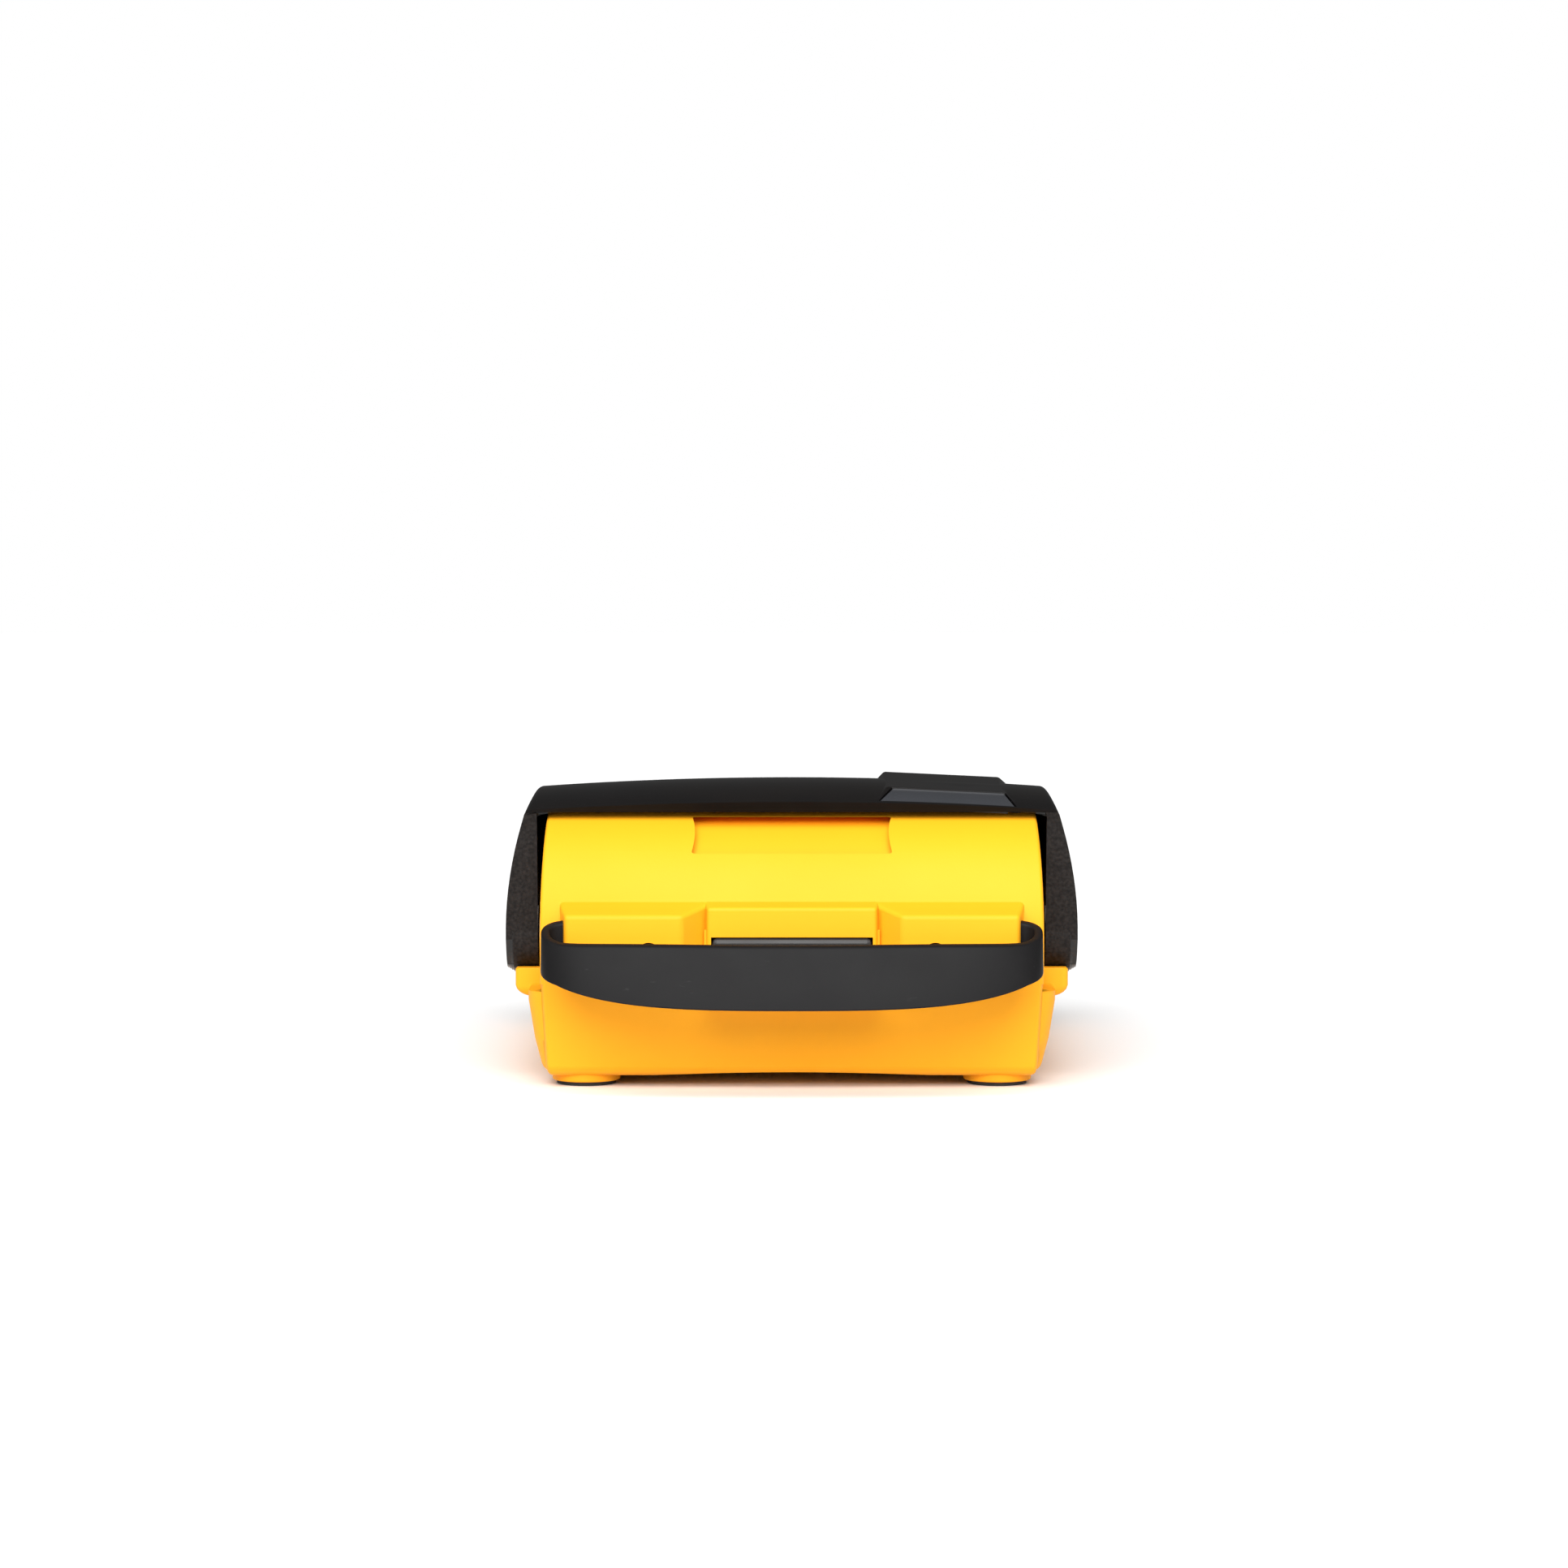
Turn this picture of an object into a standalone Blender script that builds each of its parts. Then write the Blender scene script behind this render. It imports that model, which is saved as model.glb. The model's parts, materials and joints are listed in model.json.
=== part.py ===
"""Portable defibrillator: yellow case, black hinged lid and a rubber carrying strap.

Metres, +Z up. The strap end faces -Y and the user's end faces +Y. The origin is on the
floor, under the middle of the whole object. The lid turns about a line along X.
"""
import math

import bmesh
import bpy
from mathutils import Matrix, Vector

MM = 0.001
GAP = 0.3 * MM                      # clearance between neighbours

# Driving sizes
BODY_LENGTH = 241 * MM              # from the wings to the user's end
STRAP_REACH = 28 * MM               # from the wings to the front of the strap
LID_HALF_WIDTH = 101.5 * MM         # at the hinge barrels
DRUM_RADIUS = 46 * MM               # the round strap end, about the hinge axis
WALL = 3 * MM
SLOT_GAP = 0.4 * MM                 # clearance of a sliding piece

# Heights above the floor
CASE_BOTTOM = 4 * MM
PAD_BOTTOM = 1.4 * MM
HINGE_HEIGHT = CASE_BOTTOM + 1 * MM + DRUM_RADIUS
FLANGE_TOP = HINGE_HEIGHT - 11 * MM
FLANGE_BOTTOM = FLANGE_TOP - 10 * MM
TUB_TOP = HINGE_HEIGHT + 14 * MM
GASKET_SPACE = 1.6 * MM
DECK_TOP = TUB_TOP + 5 * MM

# Lid and its arms
LID_RISE = DRUM_RADIUS + 8.9 * MM   # crest of the lid above the hinge axis
LID_BULGE = 3.7                     # how fast the sides draw in, per metre
LID_CROWN = 4 * MM
LID_CREST = 18 * MM                 # crest behind the hinge axis
LID_CURVE = 4.08                    # curvature of the top near the crest, per metre
LID_SLOPE = 0.12                    # fall towards the user's end
LID_CORNER = 30 * MM
LID_END_ROUND = 14 * MM
LID_EDGE_ROUND = 2.2 * MM
ARM_THICK = 11.5 * MM
ARM_INNER = LID_HALF_WIDTH - ARM_THICK
ARM_GAP = 1.5 * MM                  # between an arm and the drum
LIP_GAP = 0.6 * MM                  # between the lid's lip and the tab that passes under it
LIP_THICK = math.radians(3.5)
RIM_ANGLE = math.radians(65.3)      # where the lid's near rim rests, up from the front
BARREL_RADIUS = 13.6 * MM
WINDOW_LOW_Y = -20 * MM             # near and far edges of the slanted window
WINDOW_TOP_Y = -8 * MM
PIN_RADIUS = 4 * MM
PIN_HEAD = PIN_RADIUS + 2 * MM
BUSH_RADIUS = PIN_RADIUS + 3 * MM
BUSH_LENGTH = 8 * MM
CAP_RADIUS = 11.3 * MM
CAP_SEAT = LID_HALF_WIDTH - 3 * MM
HEAD_SEAT = LID_HALF_WIDTH - 5 * MM

# Case
DRUM_HALF = ARM_INNER - ARM_GAP
TUB_HALF = DRUM_HALF - 0.5 * MM
FLANGE_HALF = LID_HALF_WIDTH - 3.5 * MM
PANEL_HALF = DRUM_HALF              # the end wall that runs down from the drum
PANEL_PROUD = 2.5 * MM
CASE_CORNER = 28 * MM               # plan corners at the user's end
FRONT_CORNER = 8 * MM
SKIRT_HALF = FLANGE_HALF - 5.7 * MM  # the case just below its flange

# The strap end: wings, middle block and tab, measured from the hinge axis
WING_REACH = DRUM_RADIUS + 8.5 * MM
BLOCK_REACH = DRUM_RADIUS + 4.5 * MM
TAB_RADIUS = DRUM_RADIUS + 2.6 * MM
WING_OUTER = DRUM_HALF - 10 * MM
WING_ROOT = DRUM_HALF - 7 * MM

# Strap
STRAP_THICK = 3 * MM
STRAP_WIDE = 22.4 * MM
STRAP_NARROW = 14.6 * MM
STRAP_HALF = DRUM_HALF - 2 * MM     # centre line, at its widest
STRAP_AXIS = WING_REACH - 4.5 * MM  # exits in front of the hinge axis
STRAP_HEIGHT = HINGE_HEIGHT + 1.2 * MM
STRAP_DROOP = math.radians(19.5)
TONGUE_INNER = 45.6 * MM
STRAP_SCREW_X = TONGUE_INNER + 3.9 * MM
STRAP_SCREW_Z = STRAP_HEIGHT - 4.2 * MM
STRAP_SCREW_HEAD = 3.8 * MM

# Feet
FOOT_X = FLANGE_HALF - 25.5 * MM
FOOT_RADIUS = 10.4 * MM
FOOT_THICK = 2.6 * MM
PAD_RADIUS = FOOT_RADIUS + 1.6 * MM
FRONT_FOOT = DRUM_RADIUS - 24 * MM  # in front of the hinge axis
REAR_FOOT = 26 * MM                 # in from the user's end

# Charger cartridge
BAY_HALF = 28 * MM
BAY_TOP = HINGE_HEIGHT + 3 * MM
BAY_BOTTOM = BAY_TOP - 20.5 * MM
BAY_DEPTH = 20 * MM
BAY_WALL = 2.4 * MM

# Shock button, electrode socket and release button
SHOCK_RADIUS = 11 * MM
SHOCK_X = TUB_HALF - 30 * MM
RELEASE_HALF = 17 * MM
RELEASE_HEIGHT = 15 * MM
RELEASE_Z = FLANGE_BOTTOM - 6 * MM

# Main board
BOARD_Z = TUB_TOP - 17 * MM
BOARD_THICK = 1.6 * MM
SCREW_HOLE = 1.8 * MM

HINGE_Y = WING_REACH + STRAP_REACH - (BODY_LENGTH + STRAP_REACH) / 2
HINGE = Vector((0, HINGE_Y, HINGE_HEIGHT))
END = BODY_LENGTH - WING_REACH      # user's end, behind the hinge axis
CASE_END = END - 3.5 * MM
TUB_END = CASE_END - 4 * MM
DECK_FRONT = DRUM_RADIUS + 0.5 * MM  # behind the hinge axis

for old in list(bpy.data.objects):
    bpy.data.objects.remove(old)
PARTS = bpy.data.collections.new("portable_defibrillator")
CUTTERS = bpy.data.collections.new("cutters")
bpy.context.scene.collection.children.link(PARTS)
bpy.context.scene.collection.children.link(CUTTERS)


# Materials

def material(name, rgb, roughness, metallic=0.0):
    made = bpy.data.materials.new(name)
    made.use_nodes = True
    shader = made.node_tree.nodes["Principled BSDF"]
    shader.inputs["Base Color"].default_value = (*rgb, 1)
    shader.inputs["Roughness"].default_value = roughness
    shader.inputs["Metallic"].default_value = metallic
    return made


YELLOW = material("yellow_plastic", (0.95, 0.62, 0.02), 0.4)
BLACK = material("black_gloss_plastic", (0.012, 0.011, 0.011), 0.15)
CHARCOAL = material("charcoal_plastic", (0.04, 0.04, 0.042), 0.5)
STRAP_RUBBER = material("strap_rubber", (0.045, 0.044, 0.045), 0.45)
RUBBER = material("black_rubber", (0.02, 0.02, 0.02), 0.8)
WINDOW = material("grey_window", (0.08, 0.085, 0.095), 0.12)
STEEL = material("steel", (0.6, 0.6, 0.62), 0.3, 1.0)
GREEN = material("green_plastic", (0.05, 0.5, 0.12), 0.35)
ORANGE = material("orange_plastic", (0.9, 0.22, 0.02), 0.3)
RED = material("red_plastic", (0.7, 0.02, 0.02), 0.4)
FOIL = material("foil_pouch", (0.72, 0.73, 0.74), 0.35)
BOARD = material("circuit_board", (0.02, 0.2, 0.08), 0.5)
CELL = material("cell_sleeve", (0.1, 0.2, 0.5), 0.4)
NYLON = material("white_nylon", (0.8, 0.8, 0.78), 0.5)


# Modelling helpers

def finish(name, bm, paint, at=(0, 0, 0), smooth=35):
    """Make an object of a bmesh. With no paint it is a cutter or a building block."""
    bmesh.ops.recalc_face_normals(bm, faces=bm.faces)
    mesh = bpy.data.meshes.new(name)
    bm.to_mesh(mesh)
    bm.free()
    mesh.shade_smooth()
    mesh.set_sharp_from_angle(angle=math.radians(smooth))
    return place(name, mesh, paint, at)


def place(name, data, paint, at=(0, 0, 0)):
    made = bpy.data.objects.new(name, data)
    made.location = at
    if paint:
        data.materials.append(paint)
        PARTS.objects.link(made)
    else:
        made.hide_render = True
        made.display_type = "WIRE"
        CUTTERS.objects.link(made)
    return made


def block(name, paint, xs, ys, zs, round_edges=0.0):
    """A box between two values of x, y and z."""
    spans = (xs, ys, zs)
    bm = bmesh.new()
    bmesh.ops.create_cube(bm, size=1)
    bmesh.ops.scale(bm, vec=[high - low for low, high in spans], verts=bm.verts)
    made = finish(name, bm, paint, [(low + high) / 2 for low, high in spans])
    if round_edges:
        bevel(made, round_edges)
    return made


def bevel(made, width, segments=2):
    rounded = made.modifiers.new("rounded", "BEVEL")
    rounded.width = width
    rounded.segments = segments
    rounded.limit_method = "ANGLE"


def rod(name, paint, axis, radius, centre, length, sides=48, top_radius=None):
    """A cylinder, or a cone with a top radius, along axis X, Y or Z."""
    turns = {"X": Matrix.Rotation(math.pi / 2, 3, "Y"),
             "Y": Matrix.Rotation(-math.pi / 2, 3, "X"), "Z": Matrix.Identity(3)}
    bm = bmesh.new()
    upper = radius if top_radius is None else top_radius
    bmesh.ops.create_cone(bm, cap_ends=True, segments=sides, radius1=radius,
                          radius2=upper, depth=length)
    bmesh.ops.rotate(bm, matrix=turns[axis], verts=bm.verts)
    return finish(name, bm, paint, centre)


def turned(name, paint, profile, at, rotation=(0, 0, 0), steps=48):
    """A turned piece: (radius, height) points run down its outer side."""
    mesh = bpy.data.meshes.new(name)
    ring = profile[0][0] > 0
    count = len(profile)
    edges = [(i, i + 1) for i in range(count - 1)]
    if ring:
        edges.append((count - 1, 0))
    mesh.from_pydata([(radius, 0, height) for radius, height in profile], edges, [])
    made = place(name, mesh, paint, at)
    made.rotation_euler = rotation
    screw = made.modifiers.new("turn", "SCREW")
    screw.steps = steps
    screw.render_steps = steps
    screw.use_merge_vertices = True
    screw.merge_threshold = 0.00001
    return made


def loft(name, paint, rings, at=(0, 0, 0), smooth=35):
    """A closed skin through rings that have the same number of points."""
    bm = bmesh.new()
    loops = [[bm.verts.new(point) for point in ring] for ring in rings]
    for low, high in zip(loops, loops[1:]):
        for i in range(len(low)):
            j = (i + 1) % len(low)
            bm.faces.new((low[i], low[j], high[j], high[i]))
    bm.faces.new(loops[0][::-1])
    bm.faces.new(loops[-1])
    return finish(name, bm, paint, at, smooth)


def outline(name, paint, points, half_width, at=(0, 0, 0)):
    """A flat outline of (y, z) points, drawn out along X to both sides."""
    rings = [[(x, y, z) for y, z in points] for x in (-half_width, half_width)]
    return loft(name, paint, rings, at)


def boolean(target, tool, operation):
    step = target.modifiers.new(tool.name, "BOOLEAN")
    step.operation = operation
    step.object = tool
    step.solver = "EXACT"


def add(target, tool):
    boolean(target, tool, "UNION")


def cut(target, tool):
    boolean(target, tool, "DIFFERENCE")


def joint_point(name, at):
    """An empty on a joint's axis, for the pieces that move with it."""
    point = bpy.data.objects.new(name, None)
    point.location = at
    PARTS.objects.link(point)
    return point


def hang(point, *pieces):
    for piece in pieces:
        piece.parent = point
        piece.location = Vector(piece.location) - Vector(point.location)


def plan_ring(half, front, back, z, front_corner, back_corner):
    """A rounded rectangle seen from above, measured from the hinge axis."""
    corners = [(half, back, back_corner, 0), (-half, back, back_corner, 90),
               (-half, front, front_corner, 180), (half, front, front_corner, 270)]
    points = []
    for x, y, radius, start in corners:
        middle_x = x - math.copysign(radius, x)
        middle_y = y - radius if start < 180 else y + radius
        for step in range(7):
            angle = math.radians(start + 15 * step)
            points.append((middle_x + radius * math.cos(angle),
                           middle_y + radius * math.sin(angle), z))
    return points


def drafted(name, root, face):
    """A block with sloping sides: two four-point rings, from its root to its face."""
    return loft(name, None, [root, face], (0, HINGE_Y, HINGE_HEIGHT))


# Shape of the case

def case_front(height):
    """The end wall below the drum leans back from where it leaves the round."""
    lean = math.radians(12)
    leave_y = -DRUM_RADIUS * math.cos(lean)
    leave_z = HINGE_HEIGHT - DRUM_RADIUS * math.sin(lean)
    return leave_y + max(leave_z - height, 0) * math.tan(lean)


def case_levels(inset):
    """Half width and end of the case at each height; inset is the wall for its inside."""
    low = CASE_BOTTOM + inset
    side = SKIRT_HALF
    return [(low, side - 8.3 * MM, 5 * MM), (low + 1.2 * MM, side - 5.8 * MM, 2.5 * MM),
            (low + 3.7 * MM, side - 4.3 * MM, 0.6 * MM),
            (FLANGE_BOTTOM - 13 * MM, side - 2 * MM, 0), (FLANGE_BOTTOM + 0.5 * MM, side, 0),
            (FLANGE_BOTTOM + 4 * MM, side, 0), (FLANGE_BOTTOM + 4.5 * MM, TUB_HALF, 0),
            (TUB_TOP, TUB_HALF, 0)]


def case_loft(name, paint, inset, top):
    rings = []
    levels = case_levels(inset)
    levels[-1] = (top, TUB_HALF, 0)
    for height, half, pull in levels:
        end = min(CASE_END - (FLANGE_BOTTOM - height) * 0.2, CASE_END)
        if height > FLANGE_BOTTOM + 4.2 * MM:
            end = TUB_END
        front = case_front(height) + pull
        front += 1.5 * MM if height > HINGE_HEIGHT - 12 * MM else PANEL_PROUD
        rings.append(plan_ring(half - inset, front + inset, end - inset - pull, height,
                               FRONT_CORNER, CASE_CORNER - inset))
    return loft(name, paint, rings, (0, HINGE_Y, 0), 50)


def base_shell():
    shell = case_loft("base_shell", YELLOW, 0, TUB_TOP)
    drum = rod("drum", None, "X", DRUM_RADIUS, HINGE, 2 * DRUM_HALF, 72)
    cut(drum, block("drum_trim", None, (-DRUM_HALF - WALL, DRUM_HALF + WALL),
                    (HINGE_Y - 2 * DRUM_RADIUS, HINGE_Y + 2 * DRUM_RADIUS),
                    (-DRUM_RADIUS, HINGE_HEIGHT - 14 * MM)))
    add(shell, drum)
    add(shell, flange())
    add(shell, end_panel())
    for piece in strap_end_blocks():
        add(shell, piece)
    for x, y in foot_places():
        pad_height = CASE_BOTTOM + WALL - PAD_BOTTOM
        add(shell, rod("foot_pad", None, "Z", PAD_RADIUS,
                       (x, y, PAD_BOTTOM + pad_height / 2), pad_height, 32))
    cut(shell, case_loft("tub_hollow", None, WALL, DECK_TOP))
    cut(shell, rod("drum_hollow", None, "X", DRUM_RADIUS - WALL, HINGE,
                   2 * (DRUM_HALF - WALL), 48))
    add_case_inside(shell)
    cut_case_holes(shell)
    return shell


def end_panel():
    """The strap end's wall below the drum; it stands proud of the tub's corners."""
    rings = []
    for height, narrower, pull in ((CASE_BOTTOM, 3 * MM, 4 * MM),
                                   (CASE_BOTTOM + 1.2 * MM, 2 * MM, 1.5 * MM),
                                   (CASE_BOTTOM + 3.7 * MM, 1.5 * MM, 0.2 * MM),
                                   (HINGE_HEIGHT - 12 * MM, 0, 0)):
        half, front = PANEL_HALF - narrower, case_front(height) + pull
        back = case_front(CASE_BOTTOM) + 8 * MM
        rings.append([(-half, front, height), (half, front, height),
                      (half, back, height), (-half, back, height)])
    return loft("end_panel", None, rings, (0, HINGE_Y, 0))


def flange():
    """The ledge that the lid's lower edge closes on, along both sides and round the end."""
    front = -15.5 * MM
    levels = [(FLANGE_BOTTOM, 4 * MM), (FLANGE_BOTTOM + 1.2 * MM, 1.6 * MM),
              (FLANGE_BOTTOM + 3.5 * MM, 0), (FLANGE_TOP, 0)]
    rings = [plan_ring(FLANGE_HALF - pull, front + pull * 0.5, CASE_END + 0.5 * MM - pull, z,
                       2 * MM, CASE_CORNER + 1 * MM) for z, pull in levels]
    return loft("flange", None, rings, (0, HINGE_Y, 0))


def strap_end_blocks():
    """Middle block, two wings and the tab that stand out of the drum."""
    inside = 6 * MM - DRUM_RADIUS
    pieces = []
    root_half, face_half = BAY_HALF + 3 * MM, BAY_HALF + 1.3 * MM
    top = BAY_TOP + 10.2 * MM - HINGE_HEIGHT
    low = BAY_BOTTOM - 2.8 * MM - HINGE_HEIGHT
    root = [(-root_half, inside, top + 2.4 * MM), (root_half, inside, top + 2.4 * MM),
            (root_half, inside, low - 1.7 * MM), (-root_half, inside, low - 1.7 * MM)]
    face = [(-face_half, -BLOCK_REACH, top), (face_half, -BLOCK_REACH, top),
            (face_half, -BLOCK_REACH, low), (-face_half, -BLOCK_REACH, low)]
    pieces.append(drafted("middle_block", root, face))
    top = STRAP_HEIGHT + STRAP_NARROW / 2 + 2.2 * MM - HINGE_HEIGHT
    low = STRAP_HEIGHT - STRAP_NARROW / 2 - 3.4 * MM - HINGE_HEIGHT
    for side in (-1, 1):
        inner, outer = (BAY_HALF - 4 * MM) * side, WING_ROOT * side
        face_in, face_out = (BAY_HALF + 10 * MM) * side, WING_OUTER * side
        root = [(inner, inside, top + 5.3 * MM), (outer, inside, top + 5.3 * MM),
                (outer, inside, low - 5 * MM), (inner, inside, low - 5 * MM)]
        face = [(face_in, -WING_REACH, top), (face_out, -WING_REACH, top),
                (face_out, -WING_REACH, low), (face_in, -WING_REACH, low)]
        pieces.append(drafted("wing", root, face))
    top, low = math.radians(66.5), math.radians(43.9)
    deep = DRUM_RADIUS - 5 * MM
    root = [(-41 * MM, -deep * math.cos(top + 0.1), deep * math.sin(top + 0.1)),
            (41 * MM, -deep * math.cos(top + 0.1), deep * math.sin(top + 0.1)),
            (41 * MM, -deep * math.cos(low - 0.1), deep * math.sin(low - 0.1)),
            (-41 * MM, -deep * math.cos(low - 0.1), deep * math.sin(low - 0.1))]
    face = [(-31.5 * MM, -TAB_RADIUS * math.cos(top), TAB_RADIUS * math.sin(top)),
            (31.5 * MM, -TAB_RADIUS * math.cos(top), TAB_RADIUS * math.sin(top)),
            (33 * MM, -TAB_RADIUS * math.cos(low), TAB_RADIUS * math.sin(low)),
            (-33 * MM, -TAB_RADIUS * math.cos(low), TAB_RADIUS * math.sin(low))]
    pieces.append(drafted("tab", root, face))
    return pieces


def foot_places():
    return [(side * FOOT_X, HINGE_Y + y) for y in (-FRONT_FOOT, END - REAR_FOOT)
            for side in (-1, 1)]


def deck_screw_places():
    x = TUB_HALF - 10 * MM
    return [(side * x, HINGE_Y + y) for y in (DECK_FRONT + 7 * MM, TUB_END - 14 * MM)
            for side in (-1, 1)]


def board_screw_places():
    x = TUB_HALF - 20 * MM
    return [(side * x, HINGE_Y + y) for y in (DECK_FRONT + 12 * MM, TUB_END - 26 * MM)
            for side in (-1, 1)]


def add_case_inside(shell):
    """Screw bosses, board posts, hinge bosses and the walls of the charger bay."""
    for x, y in deck_screw_places():
        low = FLANGE_TOP
        add(shell, block("deck_boss", None, (x - 4.5 * MM if x > 0 else x - 8 * MM,
                                             x + 8 * MM if x > 0 else x + 4.5 * MM),
                         (y - 4.5 * MM, y + 4.5 * MM), (low, TUB_TOP - 0.4 * MM)))
    for x, y in board_screw_places():
        low = CASE_BOTTOM + 1 * MM
        top = BOARD_Z - GAP
        add(shell, rod("board_post", None, "Z", 4 * MM, (x, y, (low + top) / 2), top - low, 12))
    for side in (-1, 1):
        centre = HINGE + Vector((side * (DRUM_HALF - 5 * MM), 0, 0))
        add(shell, rod("hinge_boss", None, "X", BUSH_RADIUS + 4 * MM, centre, BUSH_LENGTH, 24))
    wall = BAY_WALL
    front = HINGE_Y - BLOCK_REACH + 2 * MM
    back = HINGE_Y - BLOCK_REACH + BAY_DEPTH + wall + 1 * MM
    add(shell, block("bay_walls", None, (-BAY_HALF - wall, BAY_HALF + wall), (front, back),
                     (BAY_BOTTOM - wall, BAY_TOP + wall)))


def cut_case_holes(shell):
    bay_front = HINGE_Y - BLOCK_REACH - 4 * MM
    bay_back = HINGE_Y - BLOCK_REACH + BAY_DEPTH + 1 * MM
    cut(shell, block("charger_bay", None, (-BAY_HALF, BAY_HALF), (bay_front, bay_back),
                     (BAY_BOTTOM, BAY_TOP)))
    for side in (-1, 1):
        slot_half = STRAP_NARROW / 2 + GAP
        slot_y = HINGE_Y - STRAP_AXIS
        xs = sorted((side * (TONGUE_INNER - 0.6 * MM), side * (WING_ROOT + 8.5 * MM)))
        cut(shell, block("strap_slot", None, xs,
                         (slot_y - STRAP_THICK / 2 - GAP, slot_y + STRAP_THICK / 2 + GAP),
                         (STRAP_HEIGHT - slot_half, STRAP_HEIGHT + slot_half)))
        screw = (side * STRAP_SCREW_X, HINGE_Y - WING_REACH, STRAP_SCREW_Z)
        cut(shell, rod("screw_recess", None, "Y", STRAP_SCREW_HEAD + 0.7 * MM, screw,
                       8 * MM, 32))
        cut(shell, rod("screw_hole", None, "Y", 2 * MM, screw, 40 * MM, 16))
        hole = HINGE + Vector((side * DRUM_HALF, 0, 0))
        cut(shell, rod("bush_hole", None, "X", BUSH_RADIUS + GAP, hole, 40 * MM, 32))
        cradle = HINGE + Vector((side * (ARM_INNER + 9 * MM), 0, 0))
        cut(shell, rod("barrel_cradle", None, "X", BARREL_RADIUS + 0.6 * MM, cradle,
                       20 * MM, 48))
    for x, y in deck_screw_places():
        cut(shell, rod("deck_screw_hole", None, "Z", SCREW_HOLE, (x, y, TUB_TOP), 36 * MM, 12))
    for x, y in board_screw_places():
        cut(shell, rod("board_screw_hole", None, "Z", SCREW_HOLE, (x, y, BOARD_Z), 24 * MM, 12))
    for x, y in foot_places():
        cut(shell, rod("foot_recess", None, "Z", FOOT_RADIUS + GAP, (x, y, 0),
                       2 * FOOT_THICK + 0.8 * MM, 32))
    end = HINGE_Y + CASE_END
    cut(shell, block("release_opening", None, (-RELEASE_HALF, RELEASE_HALF),
                     (end - 12 * MM, end + 5 * MM),
                     (RELEASE_Z - RELEASE_HEIGHT / 2, RELEASE_Z + RELEASE_HEIGHT / 2)))
    cut(shell, block("hook_slot", None, (-9 * MM, 9 * MM),
                     (HINGE_Y + TUB_END - 8 * MM, HINGE_Y + TUB_END + 1 * MM),
                     (FLANGE_TOP + 10 * MM, FLANGE_TOP + 16 * MM)))
    cut(shell, block("infrared_opening", None, (SHOCK_X - 11 * MM, SHOCK_X + 9 * MM),
                     (end - 12 * MM, end + 5 * MM),
                     (RELEASE_Z - 5 * MM, RELEASE_Z + 4 * MM)))


# Pieces fixed to the case

def feet():
    names = ("front_left", "front_right", "rear_left", "rear_right")
    profile = [(0, FOOT_THICK), (FOOT_RADIUS, FOOT_THICK), (FOOT_RADIUS, 0.9 * MM),
               (FOOT_RADIUS - 0.9 * MM, 0), (0, 0)]
    for name, (x, y) in zip(names, foot_places()):
        turned("rubber_foot_" + name, RUBBER, profile, (x, y, 0), steps=32)


def screw_profile(head, shank, length, head_height):
    """A pan head with a hex-free round recess; the shank points down."""
    socket = head * 0.45
    return [(0, head_height * 0.35), (socket, head_height * 0.35), (socket, head_height),
            (head - 0.5 * MM, head_height), (head, head_height - 0.5 * MM), (head, 0),
            (shank, 0), (shank, -length), (0, -length)]


def screws():
    names = ("front_left", "front_right", "rear_left", "rear_right")
    profile = screw_profile(3 * MM, 1.4 * MM, 12 * MM, 1.8 * MM)
    for name, (x, y) in zip(names, deck_screw_places()):
        turned("deck_screw_" + name, STEEL, profile, (x, y, DECK_TOP - 2 * MM), steps=16)
    profile = screw_profile(3 * MM, 1.4 * MM, 8 * MM, 1.8 * MM)
    for name, (x, y) in zip(names, board_screw_places()):
        turned("board_screw_" + name, STEEL, profile,
               (x, y, BOARD_Z + BOARD_THICK + GAP), steps=12)
    profile = screw_profile(STRAP_SCREW_HEAD, 1.6 * MM, 8 * MM, 2 * MM)
    for name, side in (("left", -1), ("right", 1)):
        seat = HINGE_Y - STRAP_AXIS - STRAP_THICK / 2 - GAP
        turned("strap_screw_" + name, STEEL, profile,
               (side * STRAP_SCREW_X, seat, STRAP_SCREW_Z), (math.pi / 2, 0, 0), 20)


def strap_tongues():
    """The strap's two ends, flat inside the wings."""
    for name, side in (("left", -1), ("right", 1)):
        y = HINGE_Y - STRAP_AXIS
        xs = sorted((side * TONGUE_INNER, side * (WING_OUTER + 0.8 * MM)))
        tongue = block("strap_tongue_" + name, STRAP_RUBBER, xs,
                       (y - STRAP_THICK / 2, y + STRAP_THICK / 2),
                       (STRAP_HEIGHT - STRAP_NARROW / 2, STRAP_HEIGHT + STRAP_NARROW / 2))
        cut(tongue, rod("tongue_hole", None, "Y", 2 * MM,
                        (side * STRAP_SCREW_X, y, STRAP_SCREW_Z), 12 * MM, 16))


def hinge_bushes():
    inner = PIN_RADIUS + GAP
    profile = [(inner, 0), (10 * MM, 0), (10 * MM, -1 * MM), (BUSH_RADIUS, -1 * MM),
               (BUSH_RADIUS, -BUSH_LENGTH), (inner, -BUSH_LENGTH)]
    for name, side in (("left", -1), ("right", 1)):
        at = HINGE + Vector((side * (DRUM_HALF + 1.2 * MM), 0, 0))
        turned("hinge_bush_" + name, NYLON, profile, at, (0, side * math.pi / 2, 0), 32)


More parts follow.
